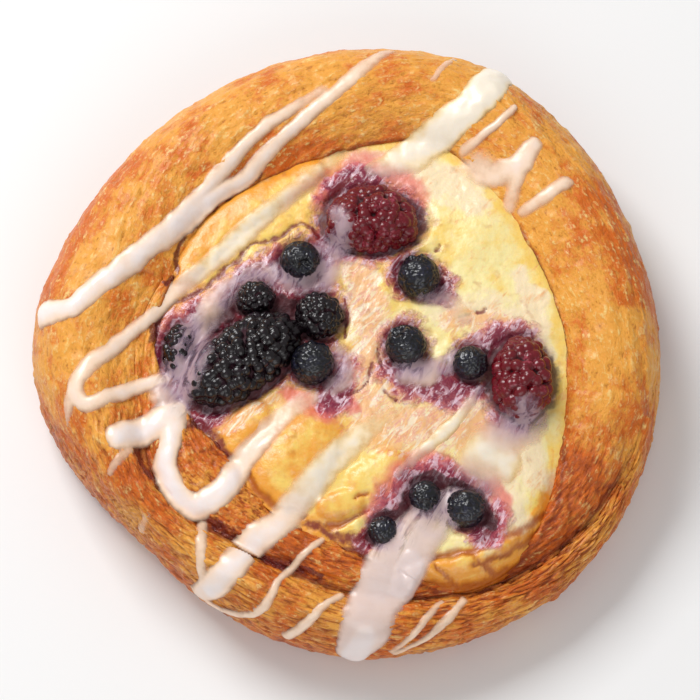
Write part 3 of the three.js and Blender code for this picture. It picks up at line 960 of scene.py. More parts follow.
@dataclass
class Custard:
    """The baked custard: a broad cushion with soft puffs, sunk a little round each berry."""

    coil: Coil
    berries: list[Berry]
    edge_heights: tuple[float, ...] = (
        21.3, 21.6, 21.8, 22, 22.2, 22.2, 22.2, 22, 21.5, 21, 20.7, 20.5, 19.5, 16, 15.5, 19,
    )
    middle_height: float = 23.0
    curve: float = 3.0
    lap: float = 1.5
    lip: float = 2.6
    puffs: tuple[tuple[float, float, float, float], ...] = (
        (-14, -26, 1.4, 8), (26, 23, 1.2, 9), (-18, 25, 0.6, 7), (27, -42, 1.2, 8),
    )
    sections: int = 560
    side_steps: int = 8
    top_steps: int = 104
    lip_round: float = 0.7
    edge_share: float = 0.012
    puff_rise: float = 1.1
    fold_depth: float = 0.7
    juice_depth: float = 0.3
    ripple_rise: float = 0.32
    moat_depth: float = 0.8
    bank_rise: float = 0.4

    def nearness(self, x: Array, y: Array) -> Array:
        """Plan distance from the nearest berry's outline."""
        return np.min([berry.nearness(x, y) for berry in self.berries], axis=0)

    def overhang(self, degrees: Array, r: Array) -> Array:
        """How far the face has sunk where it runs out over the coil: less than 0 on its rolled lip.

        Args:
            degrees: plan angles.
            r: plan radii.

        Returns:
            The depths, 0 where the custard ends in the well.
        """
        beyond = self.coil.custard_radius(degrees) - self.coil.well_radius(degrees)
        share = r / self.coil.custard_radius(degrees)
        roll = smooth_step(0.74, 0.9, share) - 2.6 * smooth_step(0.9, 1.0, share) ** 2
        return -1.0 * smooth_step(2, 7, beyond) * roll

    def smooth_height(self, degrees: Array, r: Array) -> Array:
        """Height of the upper face: edge + (middle - edge)(1 - share^curve), and a bell for each puff.

        Args:
            degrees: plan angles.
            r: plan radii.

        Returns:
            The heights.
        """
        edge = around(self.edge_heights, degrees)
        share = r / self.coil.custard_radius(degrees)
        height = edge + (self.middle_height - edge) * (1 - share ** self.curve)
        x = r * np.cos(np.radians(degrees))
        y = r * np.sin(np.radians(degrees))
        for px, py, rise, radius in self.puffs:
            height = height + rise * np.exp(-((x - px) ** 2 + (y - py) ** 2) / radius ** 2)
        return height - self.overhang(degrees, np.minimum(r, self.coil.custard_radius(degrees)))

    def profile(self, degrees: Array) -> tuple[Array, Array, Array, Array]:
        """The smooth custard in sections: a flat underside, a rounded lip, and the upper face.

        Args:
            degrees: plan angles, as a column.

        Returns:
            The outer radius and the height of the lip's foot as columns, and grids of radii and heights.
        """
        well = self.coil.well_radius(degrees)
        outer = np.maximum(self.coil.custard_radius(degrees), well + self.lap)
        rim = self.smooth_height(degrees, outer)
        lip = np.minimum(self.lip, rim - self.coil.well_floor)
        foot = rim - lip
        floor = 0 * outer + self.coil.well_floor + 0.5
        shares = 1 - np.linspace(self.edge_share, 1, self.top_steps)[:-1] ** 1.15
        top = outer * shares
        sine, cosine = quarter(self.side_steps)
        side = outer - self.lip_round * (1 - sine)
        side_heights = foot + lip * 0.5 * (1 - cosine)
        shoulder = outer - self.edge_share * outer * (1 - cosine)
        shoulder_heights = rim - lip * 0.5 * (1 - sine)
        under = [0 * outer, outer * 0.5, outer * 0.86, outer - self.lip_round]
        face = self.smooth_height(degrees, top)
        middle = self.smooth_height(degrees[:1], np.zeros((1, 1))) + 0 * outer
        radii = np.concatenate([*under, side, shoulder, top, 0 * outer], axis=1)
        rising = [floor, floor, floor, foot, side_heights, shoulder_heights, face, middle]
        return outer, foot, radii, np.concatenate(rising, axis=1)

    def build(self) -> bpy.types.Object:
        """Makes the custard: its upper face raised by puffs and ripples, and sunk by folds and moats.

        Returns:
            The custard, with its stain, browning, cream and nearness layers.
        """
        degrees = (np.arange(self.sections) / self.sections * 360 + self.coil.start)[:, None]
        outer, foot, radii, heights = self.profile(degrees)
        x = radii * np.cos(np.radians(degrees))
        y = radii * np.sin(np.radians(degrees))
        near = self.nearness(x, y)
        place = np.stack([x, y, heights], axis=-1)
        stain = STAINS.at(x, y)
        juice = JUICE_LINES.at(x, y)
        cream = CREAM.at(x, y)
        puffed = smooth_step(0.0, 1.0, PUFFS.at(x, y))
        folds = FOLDS.at(x, y)
        ripple = Grain(Seed.RIPPLES).octaves(place, 6.5, 3)
        fine = Grain(Seed.FINE_RIPPLES).octaves(place, 1.5, 3)
        patchy = Grain(Seed.PATCHES).octaves(place, 5.0, 2)
        moat = -self.moat_depth * np.exp(-((near - 0.1) / 1.1) ** 2)
        bank = self.bank_rise * (patchy + 0.3) * np.exp(-((near - 2.4) / 1.2) ** 2)
        relief = self.ripple_rise * ripple + (0.08 + 0.25 * stain + 0.15 * cream) * fine
        relief = relief + self.puff_rise * puffed - self.fold_depth * folds - self.juice_depth * juice
        upper = smooth_step(0.3, 0.9, np.cumsum(heights > foot, axis=1) / 30.0)
        heights = heights + upper * (relief + (moat + bank) * np.exp(-np.clip(-near - 1.5, 0, 9)))
        share = radii / outer
        bake = 0.3 + 0.5 * Grain(Seed.CUSTARD_BAKE).octaves(place, 12.0, 3)
        bake = bake + 0.55 * smooth_step(0.84, 1.0, share)
        ring = 4 * puffed * (1 - puffed)
        beyond = self.coil.custard_radius(degrees) - self.coil.well_radius(degrees)
        bake = bake + 0.35 * ring + 0.2 * puffed + 0.5 * folds - 0.5 * cream
        bake = bake + 0.4 * smooth_step(2, 7, beyond) * smooth_step(0.8, 1.0, share)
        bake = bake - 0.35 * smooth_step(4, 22, x - 0.2 * y) * (1 - ring) + 0.35 * smooth_step(4, -26, x)
        bake = bake + 0.9 * (self.overhang(degrees, radii) < 0) * smooth_step(0.9, 1.0, share)
        spots = np.clip(Grain(Seed.SPOTS).octaves(place, 2.4, 3) - 0.15, 0, 1) * 2.0
        return RoundGrid(np.stack([x, y, heights], axis=-1)).piece(
            "custard_filling", stain=stain, bake=bake, spots=spots, juice=juice, cream=cream, folds=folds,
            near=near - (1.2 + np.maximum(near, 0)) * PULP.at(x, y), peach=PEACH.at(x, y),
            blush=BLUSH.at(x, y),
        )


class Pour(Enum):
    """How a line of icing lies: the power of its section and its height over its depth."""

    BEAD = (2.2, 0.68)
    POOL = (3.2, 0.6)
    GLAZE = (2.0, 1.0)


@dataclass(frozen=True)
class Stroke(Line):
    """One line of icing on the unrolled surface.

    A point is the plan angle with the distance along the surface from the middle, over
    the crown and down the side, written as x and y of that polar pair.
    """

    depths: tuple[float, ...] = (1.2,)
    pour: Pour = Pour.BEAD
    cover: float = 1.0

    def depth(self, a: Array, b: Array) -> Array:
        """Depth of this line's icing: level depth (1 - (distance / half width)^power), at least -1.

        Args:
            a: first coordinate of the unrolled surface.
            b: second coordinate of the unrolled surface.

        Returns:
            The depth in millimetres, below 0 outside the line.
        """
        power, level = self.pour.value
        share, along = self.nearest(a, b)
        stops = np.linspace(0, 1, len(self.depths))
        return np.maximum(level * np.interp(along, stops, self.depths) * (1 - share ** power), -1.0)


@dataclass
class Icing:
    """The drizzled icing: a depth over the unrolled pastry, laid on a softened copy of its surface."""

    coil: Coil
    custard: Custard
    strokes: tuple[Stroke, ...]
    reach: float = 84.0
    cell: float = 0.33
    sink: float = 0.9
    merge: float = 0.12
    edge_depth: float = -0.4
    softening: float = 0.95
    bridging: float = 2.4
    angles: int = 720
    side_length: float = 45.0

    def unrolled_table(self) -> tuple[Array, Array, Array]:
        """Radius and height of the visible surface against plan angle and distance past the crown.

        Returns:
            The distances, and grids of radius and height with a row for each of the angles.
        """
        degrees = (np.arange(self.angles) * 360 / self.angles)[:, None]
        crown = self.coil.crown_radius(degrees)
        outline = self.coil.outline_radius(degrees)
        top = self.coil.soft_height(degrees, crown)
        sine, cosine = quarter(64)
        roll = 2 / self.coil.roll
        wall_radii = crown + (outline - crown) * sine ** roll
        wall_heights = self.coil.bulge_height + (top - self.coil.bulge_height) * cosine ** roll
        foot_radii = outline - self.coil.base_inset * (1 - cosine[::4])
        foot_heights = self.coil.bulge_height * (1 - sine[::4]) + 0 * outline
        radii = np.concatenate([crown, wall_radii, foot_radii], axis=1)
        heights = np.concatenate([top, wall_heights, foot_heights], axis=1)
        length = np.cumsum(np.hypot(np.diff(radii, axis=1), np.diff(heights, axis=1)), axis=1)
        length = np.concatenate([np.zeros_like(crown), length], axis=1)
        beyond = np.arange(0, self.side_length, 0.25)
        i = (length[:, None, :] <= beyond[None, :, None]).sum(axis=-1) - 1
        i = np.minimum(i, radii.shape[1] - 2)
        start = np.take_along_axis(length, i, axis=1)
        span = np.maximum(np.take_along_axis(length, i + 1, axis=1) - start, 1e-6)
        share = np.clip((beyond[None, :] - start) / span, 0, 1)
        table = np.stack([radii, heights])
        i = np.broadcast_to(i, (2,) + i.shape)
        low = np.take_along_axis(table, i, axis=2)
        high = np.take_along_axis(table, i + 1, axis=2)
        mixed = low * (1 - share) + high * share
        return beyond, mixed[0], mixed[1]

    def surface(self, a: Array, b: Array) -> Array:
        """Points of the visible surface: the plan inside the crown, the table beyond it.

        Args:
            a: first coordinate of the unrolled surface.
            b: second coordinate of the unrolled surface.

        Returns:
            The points, with the berries' backs in the height.
        """
        degrees = np.mod(np.degrees(np.arctan2(b, a)), 360.0)
        distance = np.hypot(a, b)
        crown = self.coil.crown_radius(degrees)
        beyond, wall_radii, wall_heights = self.unrolled_table()
        row = degrees * (self.angles / 360)
        first = np.floor(row).astype(int)
        row_share = row - first
        column = np.clip((distance - crown) / (beyond[1] - beyond[0]), 0, len(beyond) - 1.001)
        second = np.floor(column).astype(int)
        column_share = column - second

        def read(table: Array) -> Array:
            """Reads a table between its rows and columns.

            Args:
                table: values by angle and by distance beyond the crown.

            Returns:
                The values at each place, mixed from the four round it.
            """
            across = 1 - column_share
            rows = (first % self.angles, (first + 1) % self.angles)
            ends = [table[k, second] * across + table[k, second + 1] * column_share for k in rows]
            return ends[0] * (1 - row_share) + ends[1] * row_share

        inside = distance < crown
        in_custard = distance < self.coil.custard_radius(degrees)
        filling = self.custard.smooth_height(degrees, distance)
        plan_height = np.where(in_custard, filling, self.coil.soft_height(degrees, distance))
        backs = np.max([berry.back(a, b) for berry in self.custard.berries], axis=0)
        plan_height = np.maximum(plan_height, backs)
        radius = np.where(inside, distance, read(wall_radii))
        height = np.where(inside, plan_height, read(wall_heights))
        angle = np.radians(degrees)
        return np.stack([radius * np.cos(angle), radius * np.sin(angle), height], axis=-1)

    def fields(self) -> tuple[Array, Array, Array, Array, Array]:
        """Depth and cover of all the icing: merge log(sum of exp(depth / merge)) over its strokes.

        Returns:
            The two coordinates of the unrolled surface, the depth, the cover, and the share of glaze.
        """
        line = np.arange(-self.reach, self.reach + self.cell, self.cell)
        a, b = np.meshgrid(line, line, indexing="ij")
        place = np.stack([a, b, 0 * a], axis=-1)
        bends = ((a, Seed.ICING_X, Seed.ICING_X_FINE), (b, Seed.ICING_Y, Seed.ICING_Y_FINE))
        bent_a, bent_b = (
            plain + 0.6 * Grain(broad).octaves(place, 9.0, 2) + 0.35 * Grain(fine).octaves(place, 2.6, 2)
            for plain, broad, fine in bends
        )
        total = np.full(a.shape, math.exp(-1.0 / self.merge))
        covered = np.zeros(a.shape)
        glazed = np.zeros(a.shape)
        for stroke in self.strokes:
            weight = np.exp(stroke.depth(bent_a, bent_b) / self.merge)
            total += weight
            covered += weight * stroke.cover
            glazed += weight * (stroke.pour is Pour.GLAZE)
        depth = self.merge * np.log(total)
        return a, b, depth, covered / total, glazed / total

    def bed(self, a: Array, b: Array, cover: Array, glaze: Array) -> tuple[Array, Array]:
        """The surface that the icing lies on: blurred, bridged at steps, and swollen as the dough is.

        Args:
            a: first coordinate of the unrolled surface.
            b: second coordinate of the unrolled surface.
            cover: how well each place is covered.
            glaze: the share of glaze.

        Returns:
            The points of the surface and its normals.
        """
        surface = self.surface(a, b)
        base = blurred(surface, self.softening / self.cell)
        bridged = np.maximum(blurred(surface[..., 2], self.bridging / self.cell) - base[..., 2], 0)
        thin = np.clip((1 - cover) * 12, 0, 1) * (1 - glaze)
        base[..., 2] += blurred(bridged * thin, 0.8 / self.cell)
        normals = np.cross(np.gradient(base, axis=0), np.gradient(base, axis=1))
        normals /= np.linalg.norm(normals, axis=-1, keepdims=True)
        degrees = np.degrees(np.arctan2(b, a))
        on_dough = smooth_step(0.0, 3.0, np.hypot(a, b) - self.coil.custard_radius(degrees))
        puffed = smooth_step(0.0, 1.0, PUFFS.at(a, b))
        on_custard = self.custard.puff_rise * puffed - 0.2 * FOLDS.at(a, b)
        raised = on_dough * self.coil.swell(base) + (1 - on_dough) * on_custard
        return base + normals * raised[..., None], normals

    def build(self) -> bpy.types.Object:
        """Makes the icing: one face a depth above the bed, one sunk below it, and walls between them.

        Returns:
            The icing, with its film, cover, glaze and nearness layers.
        """
        a, b, depth, cover, glaze = self.fields()
        base, normals = self.bed(a, b, cover, glaze)
        place = np.stack([a, b, 0 * a], axis=-1)
        uneven = 1 + 0.3 * Grain(Seed.ICING_DEPTH).octaves(place, 5.0, 2)
        uneven = uneven + 0.4 * glaze * Grain(Seed.GLAZE_DEPTH).octaves(place, 3.2, 2)
        depth = (depth - 1.1 * GROOVE.wash(a, b)) * uneven
        top = base + normals * depth[..., None]
        bottom = base - normals * self.sink
        kept = depth > self.edge_depth
        cells = kept[:-1, :-1] & kept[1:, :-1] & kept[:-1, 1:] & kept[1:, 1:]
        corners = np.zeros(a.shape, bool)
        rows, columns = cells.shape
        for i, j in np.ndindex(2, 2):
            corners[i:rows + i, j:columns + j] |= cells
        number = np.cumsum(corners.ravel()).reshape(a.shape) - 1
        count = int(corners.sum())
        i, j = np.nonzero(cells)
        faces = np.stack([number[i, j], number[i + 1, j], number[i + 1, j + 1], number[i, j + 1]], axis=-1)
        edges = np.concatenate([faces[:, [k, (k + 1) % 4]] for k in range(4)])
        keys = edges[:, 0].astype(np.int64) * count + edges[:, 1]
        opposite = edges[:, 1].astype(np.int64) * count + edges[:, 0]
        border = edges[~np.isin(keys, opposite)]
        walls = np.stack([border[:, 1], border[:, 0], border[:, 0] + count, border[:, 1] + count], axis=-1)
        quads = np.concatenate([faces, faces[:, ::-1] + count, walls])
        points = np.concatenate([top[corners], bottom[corners]])
        piece = build_mesh("icing_drizzle", points, quads, np.zeros((0, 3), int))
        film = np.clip(depth[corners], self.edge_depth, 2)
        near = self.custard.nearness(a[corners], b[corners])
        paint(
            piece,
            film=np.concatenate([film, 0 * film + self.edge_depth]),
            cover=np.concatenate([cover[corners]] * 2),
            glaze=np.concatenate([glaze[corners]] * 2),
            near=np.concatenate([near] * 2),
        )
        return piece


Colour = tuple[float, float, float]


def linear(colour: Colour) -> tuple[float, float, float, float]:
    """A display colour as the linear light that the shader takes."""
    return tuple(((c + 0.055) / 1.055) ** 2.4 if c > 0.04045 else c / 12.92 for c in colour) + (1.0,)


class Term:
    """A shader socket that takes part in Python expressions, each adding its Math node."""

    def __init__(self, recipe: "Recipe", socket: bpy.types.NodeSocket) -> None:
        """Keeps the socket and the recipe that new nodes go to."""
        self.recipe = recipe
        self.socket = socket

    def math(self, operation: str, *others: "Term | float", clamp: bool = False) -> "Term":
        """Adds a Math node.

        Args:
            operation: the node's operation.
            others: its further inputs.
            clamp: whether the result is held between 0 and 1.

        Returns:
            The node's result.
        """
        values = dict(enumerate((self,) + others))
        return self.recipe.node("ShaderNodeMath", {"operation": operation, "use_clamp": clamp}, values)

    def __add__(self, other: "Term | float") -> "Term":
        """self + other."""
        return self.math("ADD", other)

    __radd__ = __add__

    def __sub__(self, other: "Term | float") -> "Term":
        """self - other."""
        return self.math("SUBTRACT", other)

    def __rsub__(self, other: float) -> "Term":
        """other - self."""
        return (self * -1.0) + other

    def __mul__(self, other: "Term | float") -> "Term":
        """self * other."""
        return self.math("MULTIPLY", other)

    __rmul__ = __mul__

    def __pow__(self, other: float) -> "Term":
        """self to a power."""
        return self.math("POWER", other)

    def clamped(self) -> "Term":
        """The value held between 0 and 1."""
        return self.math("ADD", 0.0, clamp=True)

    def rise(self, low: float, high: float) -> "Term":
        """A soft rise from 0 at low to 1 at high."""
        inputs = {"Value": self, "From Min": low, "From Max": high}
        return self.recipe.node("ShaderNodeMapRange", {"interpolation_type": "SMOOTHSTEP"}, inputs)

    def ridge(self, level: float, steepness: float) -> "Term":
        """1 where the value is at a level, falling evenly to 0 on each side of it."""
        return (1 - ((self - level) * steepness).math("ABSOLUTE")).clamped()


class Recipe:
    """The node tree of one material."""

    def __init__(self, name: str) -> None:
        """Starts an empty material.

        Args:
            name: the material's name.
        """
        self.material = bpy.data.materials.new(name)
        self.material.use_nodes = True
        self.tree = self.material.node_tree
        self.tree.nodes.clear()
        self.place = self.node("ShaderNodeTexCoord", {}, {}, "Object")

    def node(self, kind: str, settings: dict, inputs: dict, output: str | int = 0) -> Term:
        """Adds any node.

        Args:
            kind: the node's type.
            settings: its own properties, set first.
            inputs: values or terms by socket name or number.
            output: the output to return.

        Returns:
            The chosen output.
        """
        made = self.tree.nodes.new(kind)
        for key, value in settings.items():
            setattr(made, key, value)
        for key, value in inputs.items():
            if isinstance(value, Term):
                self.tree.links.new(value.socket, made.inputs[key])
            else:
                made.inputs[key].default_value = value
        return Term(self, made.outputs[output])

    def layer(self, name: str) -> Term:
        """One of the piece's own vertex layers."""
        return self.node("ShaderNodeAttribute", {"attribute_name": name}, {}, "Fac")

    def texture(self, place: Term, scale: float, detail: float, roughness: float, distortion: float) -> Term:
        """A Noise Texture node at a place, as values of 0 to 1."""
        inputs = {"Vector": place, "Scale": scale, "Detail": detail, "Roughness": roughness}
        return self.node("ShaderNodeTexNoise", {}, {**inputs, "Distortion": distortion}, "Fac")

    def noise(
        self, size: float, detail: float = 3.0, roughness: float = 0.55, distortion: float = 0.0,
    ) -> Term:
        """Noise with cells of a size in millimetres, as values of 0 to 1."""
        return self.texture(self.place, 1 / (size * MM), detail, roughness, distortion)

    def frayed(self, name: str, noise: Term, spread: float, within: float | None = None) -> Term:
        """A vertex layer with its edges frayed by noise.

        Args:
            name: the layer.
            noise: the noise, from 0 to 1.
            spread: how much the noise can change the layer's value from end to end.
            within: where given, the value at which the noise counts in full, from nothing at 0.

        Returns:
            The layer and the noise together.
        """
        layer = self.layer(name)
        fraying = (noise - 0.5) * spread
        if within is not None:
            fraying = fraying * layer.rise(0.0, within)
        return layer + fraying

    def drawn(self, size: float, stretch: float, degrees: float) -> Term:
        """Noise drawn out along one plan direction, as values of 0 to 1.

        Args:
            size: its cells' width in millimetres.
            stretch: their length over their width.
            degrees: the direction that they run in.

        Returns:
            The noise, a little swirled.
        """
        turn = (0.0, 0.0, math.radians(degrees))
        inputs = {"Vector": self.place, "Rotation": turn, "Scale": (stretch, 1.0, 1.0)}
        place = self.node("ShaderNodeMapping", {"vector_type": "TEXTURE"}, inputs)
        return self.texture(place, 1 / (size * MM), 4.0, 0.6, 0.8)

    def tint(self, share: Term, first: "Term | Colour", second: "Term | Colour") -> Term:
        """The first colour turning into the second as the share goes from 0 to 1."""
        ends = [end if isinstance(end, Term) else linear(end) for end in (first, second)]
        return self.node("ShaderNodeMix", {"data_type": "RGBA"}, {0: share, 6: ends[0], 7: ends[1]}, 2)

    def bump(self, height: Term, distance: float, strength: float = 1.0) -> Term:
        """A bump of a height in millimetres."""
        inputs = {"Strength": strength, "Distance": distance * MM, "Height": height}
        return self.node("ShaderNodeBump", {}, inputs, "Normal")

    def finish(self, **inputs: "Term | float | tuple") -> bpy.types.Material:
        """Ends the material in a Principled shader.

        Args:
            inputs: its sockets, with underscores for the spaces in their names.

        Returns:
            The material.
        """
        named = {key.replace("_", " "): value for key, value in inputs.items()}
        shader = self.node("ShaderNodeBsdfPrincipled", {}, named, "BSDF")
        out = self.tree.nodes.new("ShaderNodeOutputMaterial")
        self.tree.links.new(shader.socket, out.inputs["Surface"])
        return self.material


@dataclass(frozen=True)
class CrustFinish:
    """Egg-washed laminated dough: golden, with pale flakes and brown hollows partly of painted highlight and
    shade, painted shade in its crease and at the custard's edge, and juice in its creases.
    """

    pale: Colour = (0.99, 0.85, 0.53)
    golden: Colour = (0.955, 0.66, 0.26)
    orange: Colour = (0.86, 0.42, 0.08)
    tan: Colour = (0.68, 0.29, 0.06)
    brown: Colour = (0.48, 0.17, 0.05)
    juice: Colour = (0.38, 0.06, 0.09)

    @staticmethod
    def wound(r: Recipe, shortening: float, scale: float, detail: float, roughness: float) -> Term:
        """Noise that follows the strand of the coil.

        Args:
            r: the material's recipe.
            shortening: how many times shorter its cells are along the strand.
            scale: its cells for each millimetre across the strand.
            detail: its octaves.
            roughness: the weight of its finer octaves.

        Returns:
            Values of 0 to 1.
        """
        coil = r.node("ShaderNodeAttribute", {"attribute_name": "coil"}, {}, "Vector")
        inputs = {0: coil, 1: (shortening, shortening, 1.0)}
        place = r.node("ShaderNodeVectorMath", {"operation": "MULTIPLY"}, inputs)
        return r.texture(place, scale, detail, roughness, 0.0)

    def material(self) -> bpy.types.Material:
        """Makes the crust from its bake, relief and juice layers and noise that follows the strand.

        Returns:
            The material.
        """
        r = Recipe("crust")
        fibre = self.wound(r, 3.2, 1.15, 5.0, 0.62)
        thread = self.wound(r, 1.5, 0.95, 3.0, 0.5)
        layered = r.layer("layered")
        bake = r.frayed("bake", r.noise(3.4, 4.0), 1.5) + (fibre - 0.5) * 2.2
        colour = r.tint(bake.rise(0.1, 0.8), self.golden, self.orange)
        colour = r.tint(bake.rise(0.85, 1.5) * 0.6, colour, self.brown)
        # Pale flakes are partly the dough's own flakes along the strand and partly painted highlight where
        # the relief stands up. Painted shade darkens the places where the relief sinks, together with the
        # layer lines and cracks.
        flake_and_highlight = r.layer("relief") * 0.5 + (fibre - 0.5) * 2.8 + (r.noise(0.7, 4.0, 0.65) - 0.5) * 1.3
        colour = r.tint(flake_and_highlight.rise(0.05, 0.65) * (0.85 - layered * 0.15), colour, self.pale)
        line = thread.ridge(0.5, 13.0) * layered
        dark = (line * 0.6 + (flake_and_highlight * -1.0).rise(0.2, 0.75) * 0.6 + r.layer("cracks") * 0.6).clamped()
        colour = r.tint(dark * 0.8, colour, self.tan)
        colour = r.tint((line * r.layer("cracks")).clamped() * 0.6, colour, self.brown)
        # Painted shade along the crease and where the custard meets the crust.
        shade = r.frayed("shade", r.noise(2.0), 0.9).rise(0.3, 0.95)
        colour = r.tint(shade * 0.75, colour, self.brown)
        juice = r.frayed("juice", r.noise(1.3, 4.0, 0.6), 1.8).rise(0.25, 0.95)
        colour = r.tint(juice * 0.85, colour, self.juice)
        height = fibre * 1.3 + r.noise(0.7, 4.0, 0.6) * 0.6 - dark * 0.4
        grain = r.bump(height, 0.45, 0.8)
        return r.finish(
            Base_Color=colour, Roughness=0.45 - juice * 0.2, Normal=grain, Coat_Weight=0.16,
            Coat_Roughness=0.2, Subsurface_Weight=0.08, Subsurface_Radius=(1.0, 0.5, 0.2),
            Subsurface_Scale=0.7 * MM, Specular_IOR_Level=0.3,
        )


@dataclass(frozen=True)
class CustardFinish:
    """Baked custard: yellow, pale where cream shows, browned in folds and marbled by the berries."""

    yellow: Colour = (0.985, 0.83, 0.42)
    pale: Colour = (0.99, 0.92, 0.65)
    cream: Colour = (0.98, 0.89, 0.74)
    peach: Colour = (0.95, 0.68, 0.42)
    light: Colour = (1.0, 0.95, 0.84)
    orange: Colour = (0.95, 0.62, 0.17)
    brown: Colour = (0.68, 0.32, 0.07)
    pink: Colour = (0.88, 0.40, 0.46)
    blush: Colour = (0.90, 0.38, 0.38)
    wine: Colour = (0.46, 0.07, 0.22)
    maroon: Colour = (0.48, 0.11, 0.14)
    dark: Colour = (0.20, 0.02, 0.07)
    # The colour of the painted highlight: a pale pink-white shine on the wet stains.
    painted_highlight: Colour = (0.96, 0.84, 0.89)

    def material(self) -> bpy.types.Material:
        """Makes the custard: bake and cream first, then folds, stains, strings of painted highlight and
        juice.

        Returns:
            The material.
        """
        r = Recipe("custard")
        bake = r.frayed("bake", r.noise(3.0, 4.0), 1.3)
        colour = r.tint(bake.rise(-0.15, 0.45), self.pale, self.yellow)
        colour = r.tint(bake.rise(0.4, 1.1) * 0.9, colour, self.orange)
        cream = r.frayed("cream", r.noise(2.4, 5.0, 0.6), 1.6).rise(0.0, 0.9)
        colour = r.tint(cream * 0.9, colour, self.cream)
        streaky = r.drawn(1.3, 3.0, 48.0)
        peach = r.layer("peach")
        warm = (r.frayed("peach", streaky, 4.0) + (r.noise(3.5) - 0.5) * 1.6).rise(0.2, 1.2)
        colour = r.tint(warm * 0.75, colour, self.peach)
        ribbon = r.drawn(1.5, 3.5, 52.0).rise(0.5, 0.64) * peach.rise(0.0, 0.5)
        colour = r.tint(ribbon * 0.75, colour, self.light)
        colour = r.tint(streaky.ridge(0.44, 24.0) * peach.rise(0.0, 0.4) * 0.5, colour, self.pink)
        colour = r.tint(r.layer("spots").rise(0.1, 0.9) * 0.35, colour, self.brown)
        folds = r.frayed("folds", r.noise(2.2), 0.7, 0.3).rise(0.05, 1.15)
        colour = r.tint(folds * 0.9, colour, self.brown)
        halo = r.frayed("blush", r.noise(2.0), 0.7, 0.3).rise(0.1, 1.0)
        colour = r.tint(halo * 0.75, colour, self.blush)
        ragged = r.frayed("stain", r.noise(2.4, 5.0, 0.62, 1.2), 1.3, 0.35)
        colour = r.tint(ragged.rise(0.0, 0.75) * 0.85, colour, self.pink)
        colour = r.tint(ragged.rise(0.25, 1.0) * 0.9, colour, self.wine)
        marbled = r.noise(3.4, 3.0, 0.55, 1.3)
        # Painted highlight: swirls and strings of pale pink-white over the stains, standing for the shine of
        # the wet custard.
        highlight_string = r.drawn(1.2, 3.0, 55.0).rise(0.51, 0.6)
        painted_highlight = (marbled.rise(0.54, 0.7) * 0.5 + highlight_string * 0.8).clamped() * ragged.rise(0.05, 0.5)
        colour = r.tint(painted_highlight * 0.8, colour, self.painted_highlight)
        vein = marbled.ridge(0.46, 30.0) * r.layer("stain").rise(0.0, 0.3)
        colour = r.tint(vein * 0.4, colour, self.wine)
        border = ragged.ridge(0.14, 7.0) * r.noise(3.0).rise(0.42, 0.6)
        colour = r.tint(border * 0.3, colour, self.maroon)
        juice = r.frayed("juice", r.noise(1.4, 4.0, 0.6), 1.6).rise(0.2, 1.1)
        colour = r.tint(juice * 0.9, colour, self.maroon)
        near = r.frayed("near", r.noise(1.5), 2.6).rise(1.1, -0.2)
        colour = r.tint(near * 0.8, colour, self.dark)
        grain = r.bump(r.noise(0.9, 4.0, 0.6) + marbled * ragged.rise(0.1, 0.5) * 2.5, 0.25, 0.7)
        return r.finish(
            Base_Color=colour, Roughness=0.34 - ragged.rise(0.2, 0.6) * 0.12 + near * 0.4, Normal=grain,
            Coat_Weight=0.25 - near * 0.22, Coat_Roughness=0.15, Subsurface_Weight=0.12,
            Subsurface_Radius=(1.0, 0.7, 0.3), Subsurface_Scale=0.8 * MM,
        )


@dataclass(frozen=True)
class IcingFinish:
    """Sugar icing: white where it is deep, see-through at its edges, and tinged near the berries."""

    white: Colour = (0.98, 0.93, 0.92)
    cloud: Colour = (1.0, 0.945, 0.87)
    butter: Colour = (1.0, 0.865, 0.61)
    peach: Colour = (1.0, 0.86, 0.74)
    murky: Colour = (0.90, 0.81, 0.79)
    lilac: Colour = (0.72, 0.61, 0.70)

    def material(self) -> bpy.types.Material:
        """Makes the icing from its film, cover, glaze and nearness layers.

        Returns:
            The material.
        """
        r = Recipe("icing")
        film = r.frayed("film", r.noise(1.8), 0.3)
        glaze = r.layer("glaze")
        cover = r.layer("cover")
        near = r.layer("near")
        colour = r.tint(film.rise(0.35, 1.15), self.peach, self.white)
        colour = r.tint((1 - glaze) * cover.rise(0.97, 0.89), colour, self.murky)
        beside = near.rise(4.5, 0.5)
        away = glaze * near.rise(4.5, 8.0)
        colour = r.tint(away * 0.95, colour, r.tint(film.rise(0.1, 0.6), self.butter, self.cloud))
        colour = r.tint(glaze * near.rise(7.5, 1.0) * 0.65, colour, self.lilac)
        tinge = (r.frayed("near", r.noise(2.5), 4.0) - glaze * 1.5).rise(2.5, -0.5)
        marbled = r.drawn(1.6, 3.0, 62.0)
        colour = r.tint(tinge * (marbled.rise(0.6, 0.4) * 0.65 + 0.3), colour, self.lilac)
        streaks = 1 - beside * marbled.rise(0.54, 0.36) * 0.65
        slow = film.rise(-0.08, 0.6)
        body = slow + (film.rise(-0.08, 0.38) - slow) * away
        solid = body * (cover + (1 - cover) * away * 0.8) * streaks
        grain = r.bump(r.noise(1.6, 2.0, 0.5) + marbled * beside * 1.5, 0.15, 0.5)
        return r.finish(
            Base_Color=colour, Roughness=0.3, Normal=grain, Alpha=solid, Coat_Weight=0.2,
            Coat_Roughness=0.15, Subsurface_Weight=0.2, Subsurface_Radius=(1.0, 0.85, 0.7),
            Subsurface_Scale=0.8 * MM,
        )


